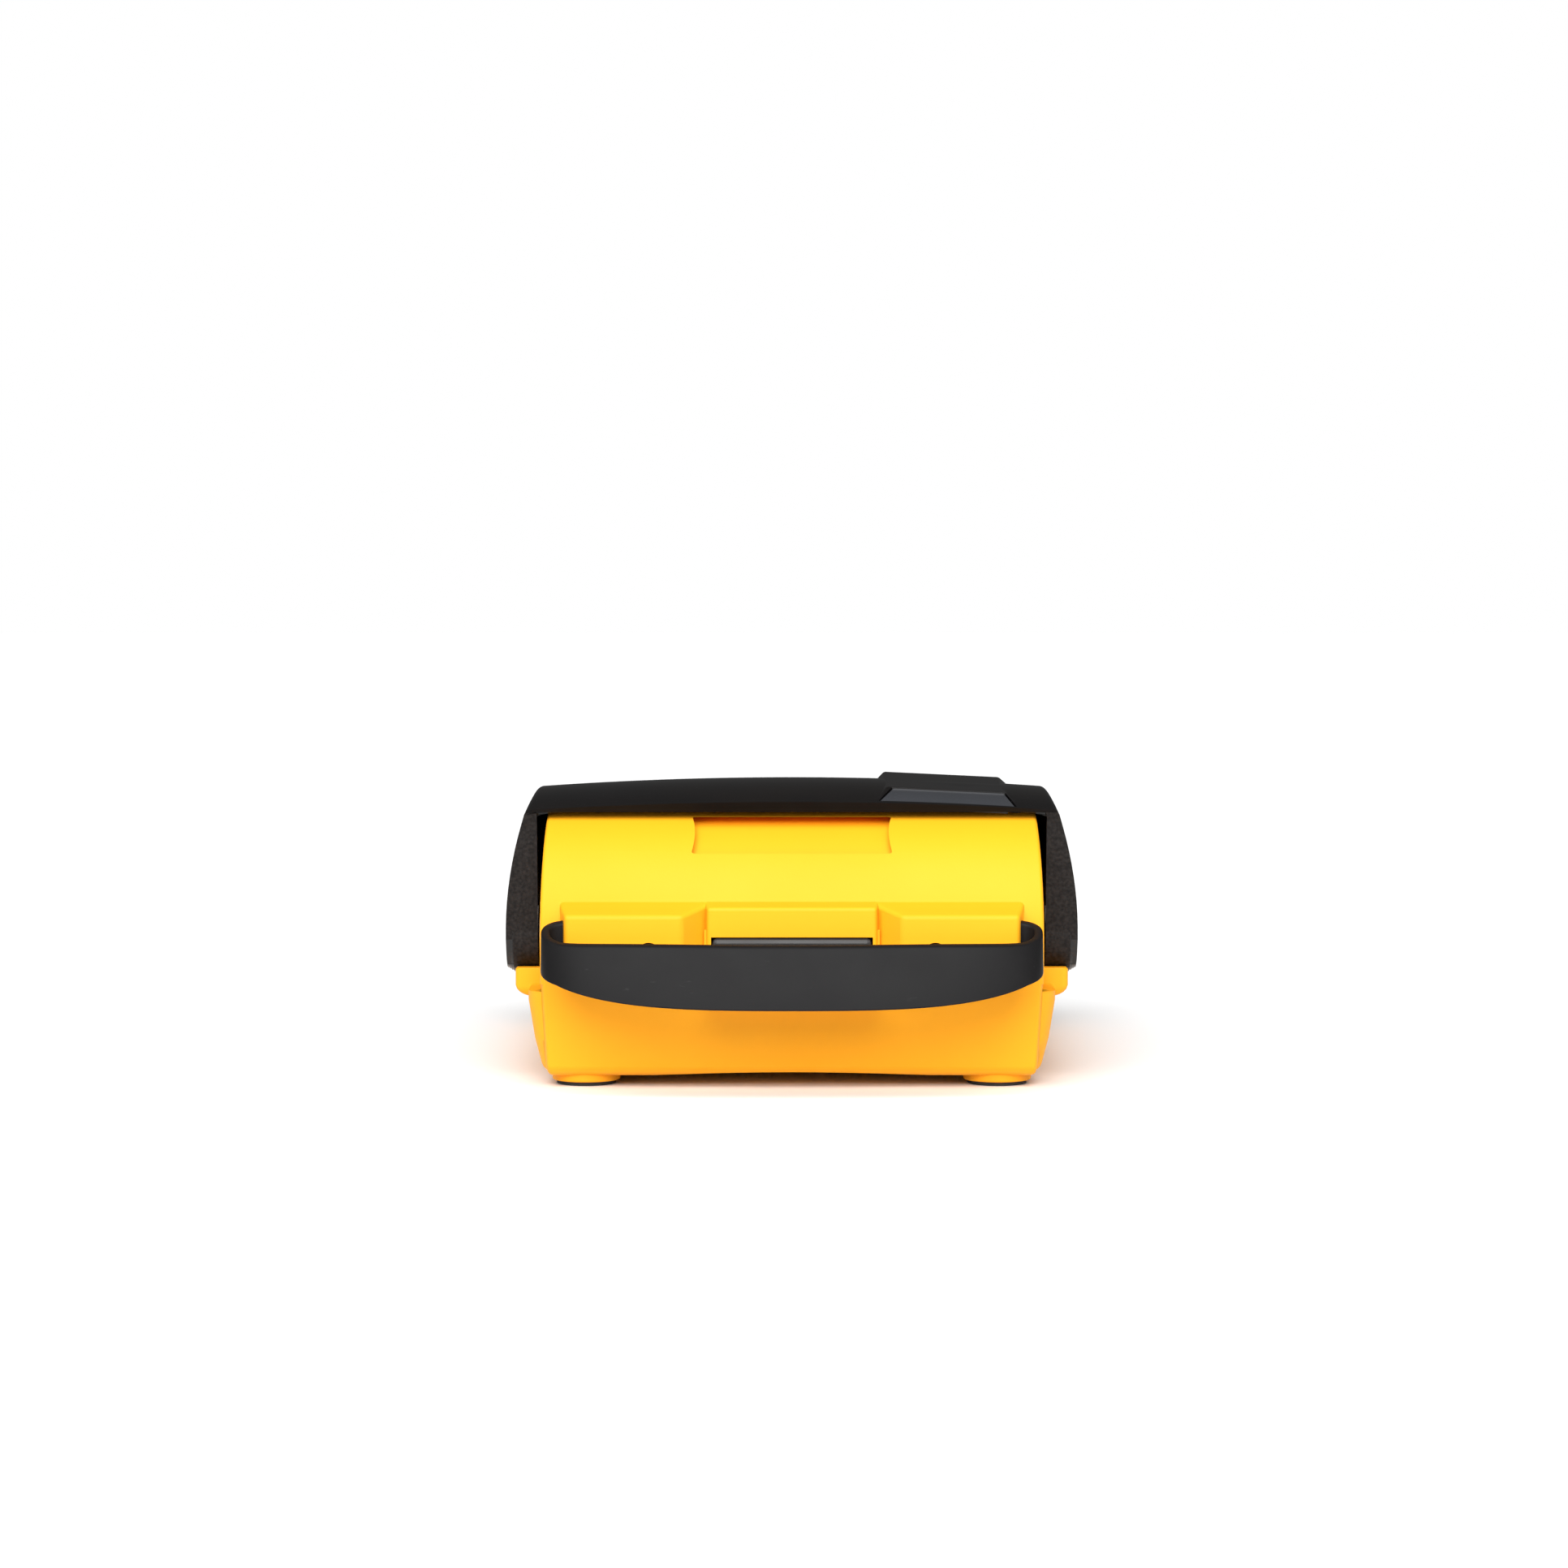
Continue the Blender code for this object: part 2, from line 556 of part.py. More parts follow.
def control_deck():
    front, back = DECK_FRONT, TUB_END
    plate_low = TUB_TOP + GASKET_SPACE
    rings = [plan_ring(TUB_HALF, front, back, z, 5 * MM, CASE_CORNER)
             for z in (plate_low, DECK_TOP - 1 * MM)]
    rings.append(plan_ring(TUB_HALF - 1 * MM, front + 1 * MM, back - 1 * MM, DECK_TOP,
                           4 * MM, CASE_CORNER - 1 * MM))
    deck = loft("control_deck", YELLOW, rings, (0, HINGE_Y, 0))
    for x, y in deck_screw_places():
        cut(deck, rod("deck_head_recess", None, "Z", 3.4 * MM, (x, y, DECK_TOP), 4.6 * MM, 20))
        cut(deck, rod("deck_clear_hole", None, "Z", 1.8 * MM, (x, y, DECK_TOP), 20 * MM, 12))
    shock = shock_centre()
    cut(deck, rod("shock_opening", None, "Z", SHOCK_RADIUS + 2.4 * MM,
                  (shock.x, shock.y, DECK_TOP), 20 * MM, 48))
    x, y = speaker_centre()
    for row in range(5):
        offset = (row - 2) * 5 * MM
        half = math.sqrt((14 * MM) ** 2 - offset ** 2)
        cut(deck, block("grille_slot", None, (x - half, x + half),
                        (y + offset - 1.1 * MM, y + offset + 1.1 * MM),
                        (plate_low - 2 * MM, DECK_TOP + 2 * MM)))
    x, y = socket_centre()
    cut(deck, block("socket_opening", None, (x - 15.3 * MM, x + 15.3 * MM),
                    (y - 8.3 * MM, y + 8.3 * MM), (plate_low - 2 * MM, DECK_TOP + 2 * MM)))
    return deck


def deck_gasket():
    """A rubber ring between the case's rim and the deck."""
    low, high = TUB_TOP + GAP, TUB_TOP + GASKET_SPACE - GAP
    rings = [plan_ring(TUB_HALF - 0.5 * MM, DECK_FRONT + 0.5 * MM, TUB_END - 0.5 * MM, z,
                       5 * MM, CASE_CORNER) for z in (low, high)]
    gasket = loft("deck_gasket", RUBBER, rings, (0, HINGE_Y, 0))
    hollow = [plan_ring(TUB_HALF - WALL, DECK_FRONT + 2.5 * MM, TUB_END - WALL, z, 4 * MM,
                        CASE_CORNER - 2 * MM) for z in (low - 2 * MM, high + 2 * MM)]
    cut(gasket, loft("gasket_hollow", None, hollow, (0, HINGE_Y, 0)))


def shock_centre():
    return Vector((SHOCK_X, HINGE_Y + TUB_END - 30 * MM, DECK_TOP))


def speaker_centre():
    return -SHOCK_X, HINGE_Y + TUB_END - 30 * MM


def socket_centre():
    return 0, HINGE_Y + TUB_END - 22 * MM


def deck_fittings():
    """Shock light ring, speaker and electrode socket."""
    shock = shock_centre()
    inner, outer = SHOCK_RADIUS + 0.5 * MM, SHOCK_RADIUS + 2 * MM
    profile = [(inner, 1 * MM), (outer, 1 * MM), (outer + 1.4 * MM, 0.7 * MM),
               (outer + 1.4 * MM, GAP), (outer, GAP), (outer, -5 * MM), (inner, -5 * MM)]
    turned("shock_ring", NYLON, profile, shock, steps=32)
    x, y = speaker_centre()
    top = TUB_TOP + 0.8 * MM
    profile = [(0, top - 4 * MM), (13 * MM, top), (16 * MM, top), (16 * MM, top - 2 * MM),
               (9 * MM, top - 8 * MM), (9 * MM, top - 13 * MM), (0, top - 13 * MM)]
    turned("speaker_driver", CHARCOAL, profile, (x, y, 0), steps=24)
    x, y = socket_centre()
    socket = block("electrode_socket", CHARCOAL, (x - 15 * MM, x + 15 * MM),
                   (y - 8 * MM, y + 8 * MM), (TUB_TOP - 8 * MM, DECK_TOP + 2 * MM), 0.8 * MM)
    cut(socket, block("plug_opening", None, (x - 11 * MM, x + 11 * MM),
                      (y - 5 * MM, y + 5 * MM), (TUB_TOP - 4 * MM, DECK_TOP + 9 * MM)))


def inner_pieces():
    """Battery, power pieces and boards inside the tub and the drum."""
    floor = CASE_BOTTOM + WALL + 0.5 * MM
    middle = HINGE_Y + (DECK_FRONT + TUB_END) / 2
    block("battery_pack", CELL, (-60 * MM, -2 * MM), (middle - 40 * MM, middle + 35 * MM),
          (floor, BOARD_Z - 8.5 * MM), 3 * MM)
    block("transformer", CHARCOAL, (10 * MM, 52 * MM), (middle - 36 * MM, middle),
          (floor, BOARD_Z - 6.5 * MM), 2 * MM)
    block("discharge_relay", NYLON, (12 * MM, 38 * MM), (middle + 8 * MM, middle + 36 * MM),
          (floor, BOARD_Z - 18.5 * MM), 1 * MM)
    centre = HINGE + Vector((0, 0, DRUM_RADIUS - 36 * MM))
    radius = DRUM_RADIUS - 26 * MM
    profile = [(0, 38 * MM), (radius - 2 * MM, 38 * MM), (radius, 36 * MM),
               (radius, -36 * MM), (radius - 2 * MM, -38 * MM), (0, -38 * MM)]
    turned("hv_capacitor", CELL, profile, centre, (0, math.pi / 2, 0), 28)
    front = HINGE_Y + DECK_FRONT + 4 * MM
    back = HINGE_Y + TUB_END - 18 * MM
    half = TUB_HALF - 15.5 * MM
    board = block("main_board", BOARD, (-half, half), (front, back),
                  (BOARD_Z, BOARD_Z + BOARD_THICK))
    for x, y in board_screw_places():
        cut(board, rod("board_hole", None, "Z", SCREW_HOLE, (x, y, BOARD_Z), 10 * MM, 12))
    chips = [(-30, -20, 12, 12), (6, -26, 20, 9), (30, 6, 10, 14), (-34, 16, 16, 8)]
    for x, y, wide, deep in chips:
        add(board, block("chip", None, ((x - wide / 2) * MM, (x + wide / 2) * MM),
                         (middle + (y - deep / 2) * MM, middle + (y + deep / 2) * MM),
                         (BOARD_Z + 1 * MM, BOARD_Z + BOARD_THICK + 2 * MM)))
    bay_back = HINGE_Y - BLOCK_REACH + BAY_DEPTH + 1 * MM
    block("charger_contacts", STEEL, (-12 * MM, 12 * MM), (bay_back - 0.9 * MM, bay_back - GAP),
          (BAY_BOTTOM + 7 * MM, BAY_TOP - 7 * MM))
    end = HINGE_Y + CASE_END
    block("infrared_window", RED, (SHOCK_X - 10.7 * MM, SHOCK_X + 8.7 * MM),
          (end - 4.6 * MM, end - 2.2 * MM),
          (RELEASE_Z - 4.7 * MM, RELEASE_Z + 3.7 * MM), 0.5 * MM)


def spring(name, radius, wire, length, at, axis, turns=4):
    """A round-wire spring, as a helix along Y or Z from its start."""
    curve = bpy.data.curves.new(name, "CURVE")
    curve.dimensions = "3D"
    curve.bevel_depth = wire
    curve.bevel_resolution = 1
    curve.use_fill_caps = True
    points = turns * 10 + 1
    spline = curve.splines.new("POLY")
    spline.points.add(points - 1)
    for i, point in enumerate(spline.points):
        angle = 2 * math.pi * i / 10
        across, up = radius * math.cos(angle), radius * math.sin(angle)
        along = length * i / (points - 1)
        place_at = (across, up, along) if axis == "Z" else (across, along, up)
        point.co = (*place_at, 1)
    return place(name, curve, STEEL, at)


# The lid

def lid_half_width(height):
    """Half width of the lid's outside at a height measured from the hinge axis."""
    return LID_HALF_WIDTH - LID_BULGE * height ** 2


def lid_top(y):
    """Height of the lid's top along its middle, measured from the hinge axis."""
    straight = LID_CREST + LID_SLOPE / (2 * LID_CURVE)
    curved = min(y, straight)
    height = LID_RISE - LID_CURVE * (curved - LID_CREST) ** 2
    return height - LID_SLOPE * max(y - straight, 0)


def round_drop(y, end, radius):
    """How far a round corner of this radius has drawn in at y, before the end."""
    into = max(y - (end - radius), 0)
    return radius - math.sqrt(max(radius ** 2 - into ** 2, 0))


def hood_ring(y, inset, bottom, half_inside=None):
    """One arch of the lid, from its left edge over the top to its right edge."""
    end = END - inset
    top = lid_top(y) - inset - round_drop(y, end, LID_END_ROUND - inset)
    draw_in = round_drop(y, end, LID_CORNER - inset)

    def top_at(x):
        return top - LID_CROWN * (x / LID_HALF_WIDTH) ** 2

    def side_at(z):
        return half_inside if half_inside else lid_half_width(z) - inset

    corner_z = top_at(lid_half_width(top))
    corner_x = side_at(corner_z)
    radius = max(LID_EDGE_ROUND - inset, 1 * MM)
    side_top = corner_z - radius
    half = []
    for step in range(6):
        z = bottom + (side_top - bottom) * step / 5
        half.append((side_at(z), z))
    start, finish_at = half[-1], (corner_x - radius, top_at(corner_x - radius))
    for t in (0.25, 0.5, 0.75, 1.0):
        half.append(tuple(start[k] * (1 - t) ** 2 + 2 * (corner_x, corner_z)[k] * t * (1 - t)
                          + finish_at[k] * t ** 2 for k in (0, 1)))
    for step in (1, 2, 3):
        x = finish_at[0] * (1 - step / 4)
        half.append((x, top_at(x)))
    half = [(x * (1 - draw_in / corner_x), z) for x, z in half]
    right = [(x, y, z) for x, z in half]
    left = [(-x, y, z) for x, z in reversed(half)]
    return right + [(0, y, top_at(0))] + left


def hood_stations(start, inset):
    """Places along the lid, closer together in its round corners."""
    end = END - inset
    corner = LID_CORNER - inset
    places = [start, -34 * MM, -28 * MM, -22 * MM, -14 * MM, -6 * MM, 4 * MM, 16 * MM, 24 * MM,
              30 * MM, 60 * MM, (60 * MM + end - corner) / 2, end - corner]
    places += [end - corner + corner * math.sin(math.radians(angle))
               for angle in (15, 30, 45, 60, 72, 82, 89)]
    return places


def hood(name, paint, inset, bottom):
    rings = [hood_ring(y, inset, bottom) for y in hood_stations(-40 * MM, inset)]
    return loft(name, paint, rings, HINGE, 40)


def hood_hollow():
    """The inside of the lid: narrow between the arms, then as wide as the walls allow."""
    rings = []
    for y in hood_stations(-44 * MM, WALL):
        arms = y < 26 * MM
        rings.append(hood_ring(y, WALL, -34 * MM, ARM_INNER if arms else None))
    return loft("hood_hollow", None, rings, HINGE, 40)


def display_block_top(x, y):
    """Height of the display block's top plane, measured from the hinge axis."""
    level = LID_RISE - 1.9 * MM
    return level - (x - 33.7 * MM) * 0.0476 + (y + 8 * MM) * 0.0739


def display_quad(near, far, y_near, y_far, lift=0.0):
    """Four corners on the display block's top plane."""
    corners = [(near[0], y_near), (near[1], y_near), (far[1], y_far), (far[0], y_far)]
    return [(x, y, display_block_top(x, y) + lift) for x, y in corners]


def window_slab(name, paint, margin, deep, thick):
    """The slanted window: a thin slab that follows the display block's near face."""
    low_y, top_y = WINDOW_LOW_Y + margin, WINDOW_TOP_Y - margin
    left, right = 30.6 * MM + 1.3 * margin, 79.4 * MM - 1.3 * margin
    taper = 5 * MM, 3.6 * MM            # the far edge is shorter at its two ends

    def face(x, y):
        return display_block_top(x, WINDOW_TOP_Y) + (y - WINDOW_TOP_Y) * 0.37

    corners = ((left, low_y), (right, low_y), (right - taper[1], top_y),
               (left + taper[0], top_y))
    rings = [[(x, y, face(x, y) - drop) for x, y in corners]
             for drop in (deep + thick, deep)]
    return loft(name, paint, rings, HINGE)


def lid_shell():
    shell = hood("lid_shell", BLACK, 0, -30 * MM)
    deep = LID_RISE - 12 * MM
    base_ring = [(29 * MM, -22 * MM, deep), (81 * MM, -22 * MM, deep),
                 (81 * MM, 46 * MM, deep), (29 * MM, 46 * MM, deep)]
    lip_ring = [(30 * MM, WINDOW_LOW_Y, display_block_top(30 * MM, WINDOW_TOP_Y) - 4.4 * MM),
                (80.5 * MM, WINDOW_LOW_Y, display_block_top(80.5 * MM, WINDOW_TOP_Y) - 4.4 * MM),
                (79 * MM, 41 * MM, LID_RISE - 4.9 * MM), (31 * MM, 41 * MM, LID_RISE - 2.9 * MM)]
    top_ring = display_quad((33.7 * MM, 75.7 * MM), (33.7 * MM, 75.7 * MM),
                            WINDOW_TOP_Y, 36 * MM)
    add(shell, loft("display_block", None, [base_ring, lip_ring, top_ring], HINGE))
    cut(shell, hood_hollow())
    lower = FLANGE_TOP + 0.6 * MM - HINGE_HEIGHT
    add(shell, lid_lip())
    rim = Vector((-math.cos(RIM_ANGLE), math.sin(RIM_ANGLE)))
    round_the_barrel = [(-math.sqrt(BARREL_RADIUS ** 2 - z ** 2), z) for z in
                        (2 * MM, -2 * MM, -5 * MM, -8 * MM, lower)]
    front = [tuple(rim * 80 * MM), tuple(rim * 44 * MM), (-15 * MM, 12 * MM),
             *round_the_barrel, (END + 20 * MM, lower),
             (END + 20 * MM, -50 * MM), (-60 * MM, -50 * MM), (-60 * MM, 73 * MM)]
    cut(shell, outline("lid_front_cut", None, front, 130 * MM, HINGE))
    for side in (-1, 1):
        middle = (ARM_INNER + LID_HALF_WIDTH) / 2
        barrel = HINGE + Vector((side * middle, 0, 0))
        add(shell, rod("hinge_barrel", None, "X", BARREL_RADIUS, barrel,
                       LID_HALF_WIDTH - ARM_INNER, 56))
        cut(shell, rod("pin_hole", None, "X", PIN_RADIUS + GAP, barrel, 30 * MM, 24))
        recess = HINGE + Vector((side * (CAP_SEAT + 10 * MM), 0, 0))
        cut(shell, rod("cap_recess", None, "X", CAP_RADIUS + GAP, recess, 20 * MM, 40))
        head = HINGE + Vector((side * (HEAD_SEAT + 10 * MM), 0, 0))
        cut(shell, rod("head_recess", None, "X", PIN_HEAD + SLOT_GAP, head, 20 * MM, 24))
    cut(shell, window_slab("window_recess", None, 0, -4 * MM, 6 * MM))
    cut(shell, window_slab("panel_recess", None, 2 * MM, -4 * MM, 8.2 * MM))
    return shell


def lid_lip():
    """The lid's near edge turns down between the arms, almost to the tab."""
    inner, outer = TAB_RADIUS + LIP_GAP, LID_RISE - WALL
    points = []
    for radius, angles in ((inner, (0, 0.5, 1)), (outer, (1, 0.5, 0))):
        for share in angles:
            angle = RIM_ANGLE - 0.02 + (LIP_THICK + 0.02) * share
            points.append((-radius * math.cos(angle), radius * math.sin(angle)))
    return outline("lid_lip", None, points, ARM_INNER + 1 * MM, HINGE)


def lid_fittings():
    """Hinge pins, hinge caps, window, panel, liner and catch."""
    made = []
    high = CAP_SEAT - HEAD_SEAT
    deep = DRUM_HALF - BUSH_LENGTH + 2.5 * MM - HEAD_SEAT
    pin = [(0, high), (PIN_HEAD - 0.4 * MM, high), (PIN_HEAD, high - 0.4 * MM), (PIN_HEAD, GAP),
           (PIN_RADIUS, GAP), (PIN_RADIUS, deep), (0, deep)]
    cap = [(0, 2.2 * MM), (CAP_RADIUS - 3.3 * MM, 2.7 * MM), (CAP_RADIUS - 0.9 * MM, 2.7 * MM),
           (CAP_RADIUS, 1.8 * MM), (CAP_RADIUS, GAP), (0, GAP)]
    for name, side in (("left", -1), ("right", 1)):
        turn = (0, side * math.pi / 2, 0)
        seat = HINGE + Vector((side * HEAD_SEAT, 0, 0))
        made.append(turned("hinge_pin_" + name, STEEL, pin, seat, turn, 24))
        seat = HINGE + Vector((side * CAP_SEAT, 0, 0))
        made.append(turned("hinge_cap_" + name, BLACK, cap, seat, turn, 40))
    made.append(window_slab("display_window", WINDOW, GAP, 0.3 * MM, 1.2 * MM))
    made.append(window_slab("display_panel", CHARCOAL, 2 * MM + GAP, 2.4 * MM, 1.2 * MM))
    start, stop = LID_CREST + 16 * MM, END - LID_CORNER - 6.5 * MM
    half = LID_HALF_WIDTH - 29.5 * MM
    rings = []
    for step in range(5):
        y = start + (stop - start) * step / 4
        across = [half * (column / 4 - 1) for column in range(9)]
        crown = [lid_top(y) - LID_CROWN * (x / LID_HALF_WIDTH) ** 2 for x in across]
        upper = [(x, y, z - WALL - 0.5 * MM) for x, z in zip(across, crown)]
        lower = [(x, y, z - WALL - 2 * MM) for x, z in zip(across, crown)]
        rings.append(upper + lower[::-1])
    made.append(loft("lid_liner", CHARCOAL, rings, HINGE))
    inner = HINGE_Y + END - WALL
    made.append(block("lid_catch", STEEL, (-8 * MM, 8 * MM), (inner - 1.5 * MM, inner - GAP),
                      (FLANGE_TOP + 6 * MM, FLANGE_TOP + 9 * MM)))
    return made


# The strap

def strap_half_path(t):
    """Centre line of the strap's right half: t runs from the exit to the middle."""
    reach = strap_bow()
    turn = 7 * MM
    start = STRAP_HALF - turn
    if t < 0.25:
        angle = math.pi / 2 * t / 0.25
        return start + turn * math.sin(angle), turn - turn * math.cos(angle)
    angle = math.pi / 2 * (t - 0.25) / 0.75
    fullness = 2 / 2.6
    return (STRAP_HALF * math.cos(angle) ** fullness,
            turn + (reach - turn) * math.sin(angle) ** fullness)


def strap_bow():
    """How far the strap's centre line stands out from its exits, along its own plane."""
    reach = WING_REACH + STRAP_REACH - STRAP_AXIS
    lean = STRAP_WIDE / 2 * math.sin(STRAP_DROOP)
    return (reach - lean) / math.cos(STRAP_DROOP) - STRAP_THICK / 2


def strap_handle(point):
    """A rubber band that leaves each wing sideways, turns and bows out in front."""
    steps = 26
    half = [strap_half_path(i / steps) for i in range(steps + 1)]
    half[0] = (half[0][0] + 0.9 * MM, half[0][1])
    path = half + [(-x, y) for x, y in reversed(half[:-1])]
    rings = []
    for i, (x, y) in enumerate(path):
        before, after = path[max(i - 1, 0)], path[min(i + 1, len(path) - 1)]
        along = Vector((after[0] - before[0], after[1] - before[1])).normalized()
        if i in (0, len(path) - 1):
            along = Vector((1, 0))
        across = Vector((-along.y, along.x)) * STRAP_THICK / 2
        share = min(abs(x) / (STRAP_HALF - 6.5 * MM), 1)
        high = (STRAP_WIDE - (STRAP_WIDE - STRAP_NARROW) * share ** 3) / 2
        soft = 0.7 * MM
        ring = []
        for side, level in ((1, high - soft), (0.55, high), (-0.55, high), (-1, high - soft),
                            (-1, soft - high), (-0.55, -high), (0.55, -high), (1, soft - high)):
            ring.append((x + across.x * side, -(y + across.y * side), level))
        rings.append(ring)
    strap = loft("strap_handle", STRAP_RUBBER, rings)
    strap.rotation_euler = (STRAP_DROOP, 0, 0)
    strap.location = point.location
    hang(point, strap)


# Charger cartridge, buttons and electrode packet

def charger():
    half = BAY_HALF - SLOT_GAP
    low, high = BAY_BOTTOM + SLOT_GAP, BAY_TOP - SLOT_GAP
    front = HINGE_Y - BLOCK_REACH - 1.2 * MM
    back = HINGE_Y - BLOCK_REACH + BAY_DEPTH - 0.6 * MM
    case = block("charger_case", CHARCOAL, (-half, half), (front, back), (low, high), 1.6 * MM)
    cut(case, block("cell_hollow", None, (-half + 1.6 * MM, half - 1.6 * MM),
                    (front + 4 * MM, back + 5 * MM), (low + 1.6 * MM, high - 1.6 * MM)))
    for row in range(11):
        x = (row - 5) * (BAY_HALF - 6 * MM) / 5.5
        add(case, block("grip_rib", None, (x - 1 * MM, x + 1 * MM),
                        (front - 0.8 * MM, front + 1 * MM), (low + 4 * MM, high - 2 * MM)))
    cover = block("charger_cover", CHARCOAL, (-half + 2 * MM, half - 2 * MM),
                  (back - 1.4 * MM, back), (low + 2 * MM, high - 2 * MM))
    made = [case, cover]
    radius = 7 * MM
    length = BAY_HALF - 4 * MM
    y = (front + 4 * MM + back - 1.4 * MM) / 2
    z = (low + high) / 2
    profile = [(0, length / 2 + 1 * MM), (2.5 * MM, length / 2 + 1 * MM),
               (2.5 * MM, length / 2), (radius, length / 2), (radius, -length / 2),
               (0, -length / 2)]
    for name, side in (("left", -1), ("right", 1)):
        made.append(turned("charger_cell_" + name, CELL, profile,
                           (side * (length / 2 + 0.8 * MM), y, z), (0, side * math.pi / 2, 0), 20))
    point = joint_point("charger_slide", (0, front, z))
    hang(point, *made)


def buttons():
    centre = shock_centre()
    point = joint_point("shock_press", centre)
    profile = [(0, 3.4 * MM), (7.5 * MM, 3.1 * MM), (10 * MM, 2.4 * MM),
               (SHOCK_RADIUS, 1.2 * MM), (SHOCK_RADIUS, -6 * MM), (SHOCK_RADIUS + 2 * MM, -6 * MM),
               (SHOCK_RADIUS + 2 * MM, -7.5 * MM), (0, -7.5 * MM)]
    hang(point, turned("shock_button", ORANGE, profile, centre, steps=32))
    board_top = BOARD_Z + BOARD_THICK + 1.2 * MM
    spring("shock_spring", 5 * MM, 0.5 * MM, centre.z - 7.5 * MM - board_top - 1.2 * MM,
           (centre.x, centre.y, board_top), "Z")

    end = HINGE_Y + CASE_END
    high = RELEASE_Z + RELEASE_HEIGHT / 2 - SLOT_GAP
    low = RELEASE_Z - RELEASE_HEIGHT / 2 + SLOT_GAP
    half = RELEASE_HALF - SLOT_GAP
    face, back = end + 2 * MM, end - 9 * MM
    button = block("release_button", GREEN, (-half, half), (back, face), (low, high), 1.5 * MM)
    nose = HINGE_Y + END - WALL - 1.5 * MM - 0.5 * MM
    stem_back = end - 14 * MM
    hook = block("latch_hook", NYLON, (-7 * MM, 7 * MM), (stem_back, back - GAP),
                 (low, FLANGE_TOP + 14 * MM))
    add(hook, block("hook_nose", None, (-7 * MM, 7 * MM), (stem_back + 1 * MM, nose),
                    (FLANGE_TOP + 11 * MM, FLANGE_TOP + 14 * MM)))
    point = joint_point("release_press", (0, back, RELEASE_Z))
    hang(point, button, hook)
    spring("release_spring", 4 * MM, 0.5 * MM, 12 * MM,
           (0, stem_back - 13 * MM, RELEASE_Z), "Y")


def electrode_packet():
    """A sealed pouch on the deck, with a pull handle at its user's side."""
    front, back = HINGE_Y + DECK_FRONT + 9 * MM, HINGE_Y + TUB_END - 48 * MM
    low = DECK_TOP + 0.5 * MM
    high = DRUM_RADIUS - 36 * MM        # what the lid leaves above the deck
    levels = [(low, 3 * MM), (low + 0.2 * high, 0), (low + 0.5 * high, 1 * MM),
              (low + high, 12 * MM)]
    rings = [plan_ring(66 * MM - pull, front + pull, back - pull, z, 8 * MM, 8 * MM)
             for z, pull in levels]
    loft("electrode_packet", FOIL, rings)
    y = back + 2 * MM
    handle = block("packet_handle", RED, (-20 * MM, 20 * MM), (y, y + 11 * MM),
                   (low, low + 0.3 * high), 1 * MM)
    cut(handle, block("finger_hole", None, (-14 * MM, 14 * MM), (y + 2.5 * MM, y + 8 * MM),
                      (low - 2 * MM, low + 6 * MM)))


base_shell()
feet()
screws()
strap_tongues()
hinge_bushes()
control_deck()
deck_gasket()
deck_fittings()
inner_pieces()
lid_point = joint_point("lid_hinge", HINGE)
hang(lid_point, lid_shell(), *lid_fittings())
strap_point = joint_point("strap_flex", (0, HINGE_Y - STRAP_AXIS, STRAP_HEIGHT))
strap_handle(strap_point)
charger()
buttons()
electrode_packet()
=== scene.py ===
# %% [markdown]
# # A portable defibrillator, piece by piece
#
# The real object is a small case of bright yellow plastic with a round carrying
# end, a hinged lid of glossy black plastic and a soft rubber strap. The packed
# CAD model is loaded first, and it stays the measure of everything: each new
# piece takes its place from the model's joints and boxes.

# %% Load the frame
import json
import math

import bmesh
import bpy
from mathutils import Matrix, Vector


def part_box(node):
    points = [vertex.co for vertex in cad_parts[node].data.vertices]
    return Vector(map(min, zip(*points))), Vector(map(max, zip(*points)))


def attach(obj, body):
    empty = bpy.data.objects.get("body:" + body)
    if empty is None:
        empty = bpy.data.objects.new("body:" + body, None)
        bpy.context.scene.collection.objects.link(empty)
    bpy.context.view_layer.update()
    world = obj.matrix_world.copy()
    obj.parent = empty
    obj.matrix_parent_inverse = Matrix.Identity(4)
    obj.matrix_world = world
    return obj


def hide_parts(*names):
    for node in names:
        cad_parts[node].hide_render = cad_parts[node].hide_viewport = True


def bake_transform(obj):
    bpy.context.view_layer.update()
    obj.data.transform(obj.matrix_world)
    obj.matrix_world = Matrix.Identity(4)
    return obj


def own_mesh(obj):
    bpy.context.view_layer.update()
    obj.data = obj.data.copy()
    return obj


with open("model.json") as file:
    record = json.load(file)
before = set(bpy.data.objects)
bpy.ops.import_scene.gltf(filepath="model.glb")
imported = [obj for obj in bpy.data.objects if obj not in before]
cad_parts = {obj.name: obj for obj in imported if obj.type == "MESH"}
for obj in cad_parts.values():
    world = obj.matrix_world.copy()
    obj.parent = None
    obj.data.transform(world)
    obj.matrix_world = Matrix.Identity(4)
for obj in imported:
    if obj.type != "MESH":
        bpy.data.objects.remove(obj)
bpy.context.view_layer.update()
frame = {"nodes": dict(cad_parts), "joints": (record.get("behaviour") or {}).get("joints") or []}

MM = 0.001
JOINTS = {row["name"]: row for row in frame["joints"]}
HINGE = Vector(JOINTS["lid_hinge"]["pos_m"])
STRAP_PIVOT = Vector(JOINTS["strap_flex"]["pos_m"])
print("hinge at", tuple(HINGE), "and", len(frame["nodes"]), "CAD nodes")

# %% [markdown]
# ## Sizes that the pieces share
#
# A maker writes the main sizes down once. Heights and reaches marked "from the
# hinge" are measured from the line that the lid turns about, because the round
# end of the case is centred on that line.

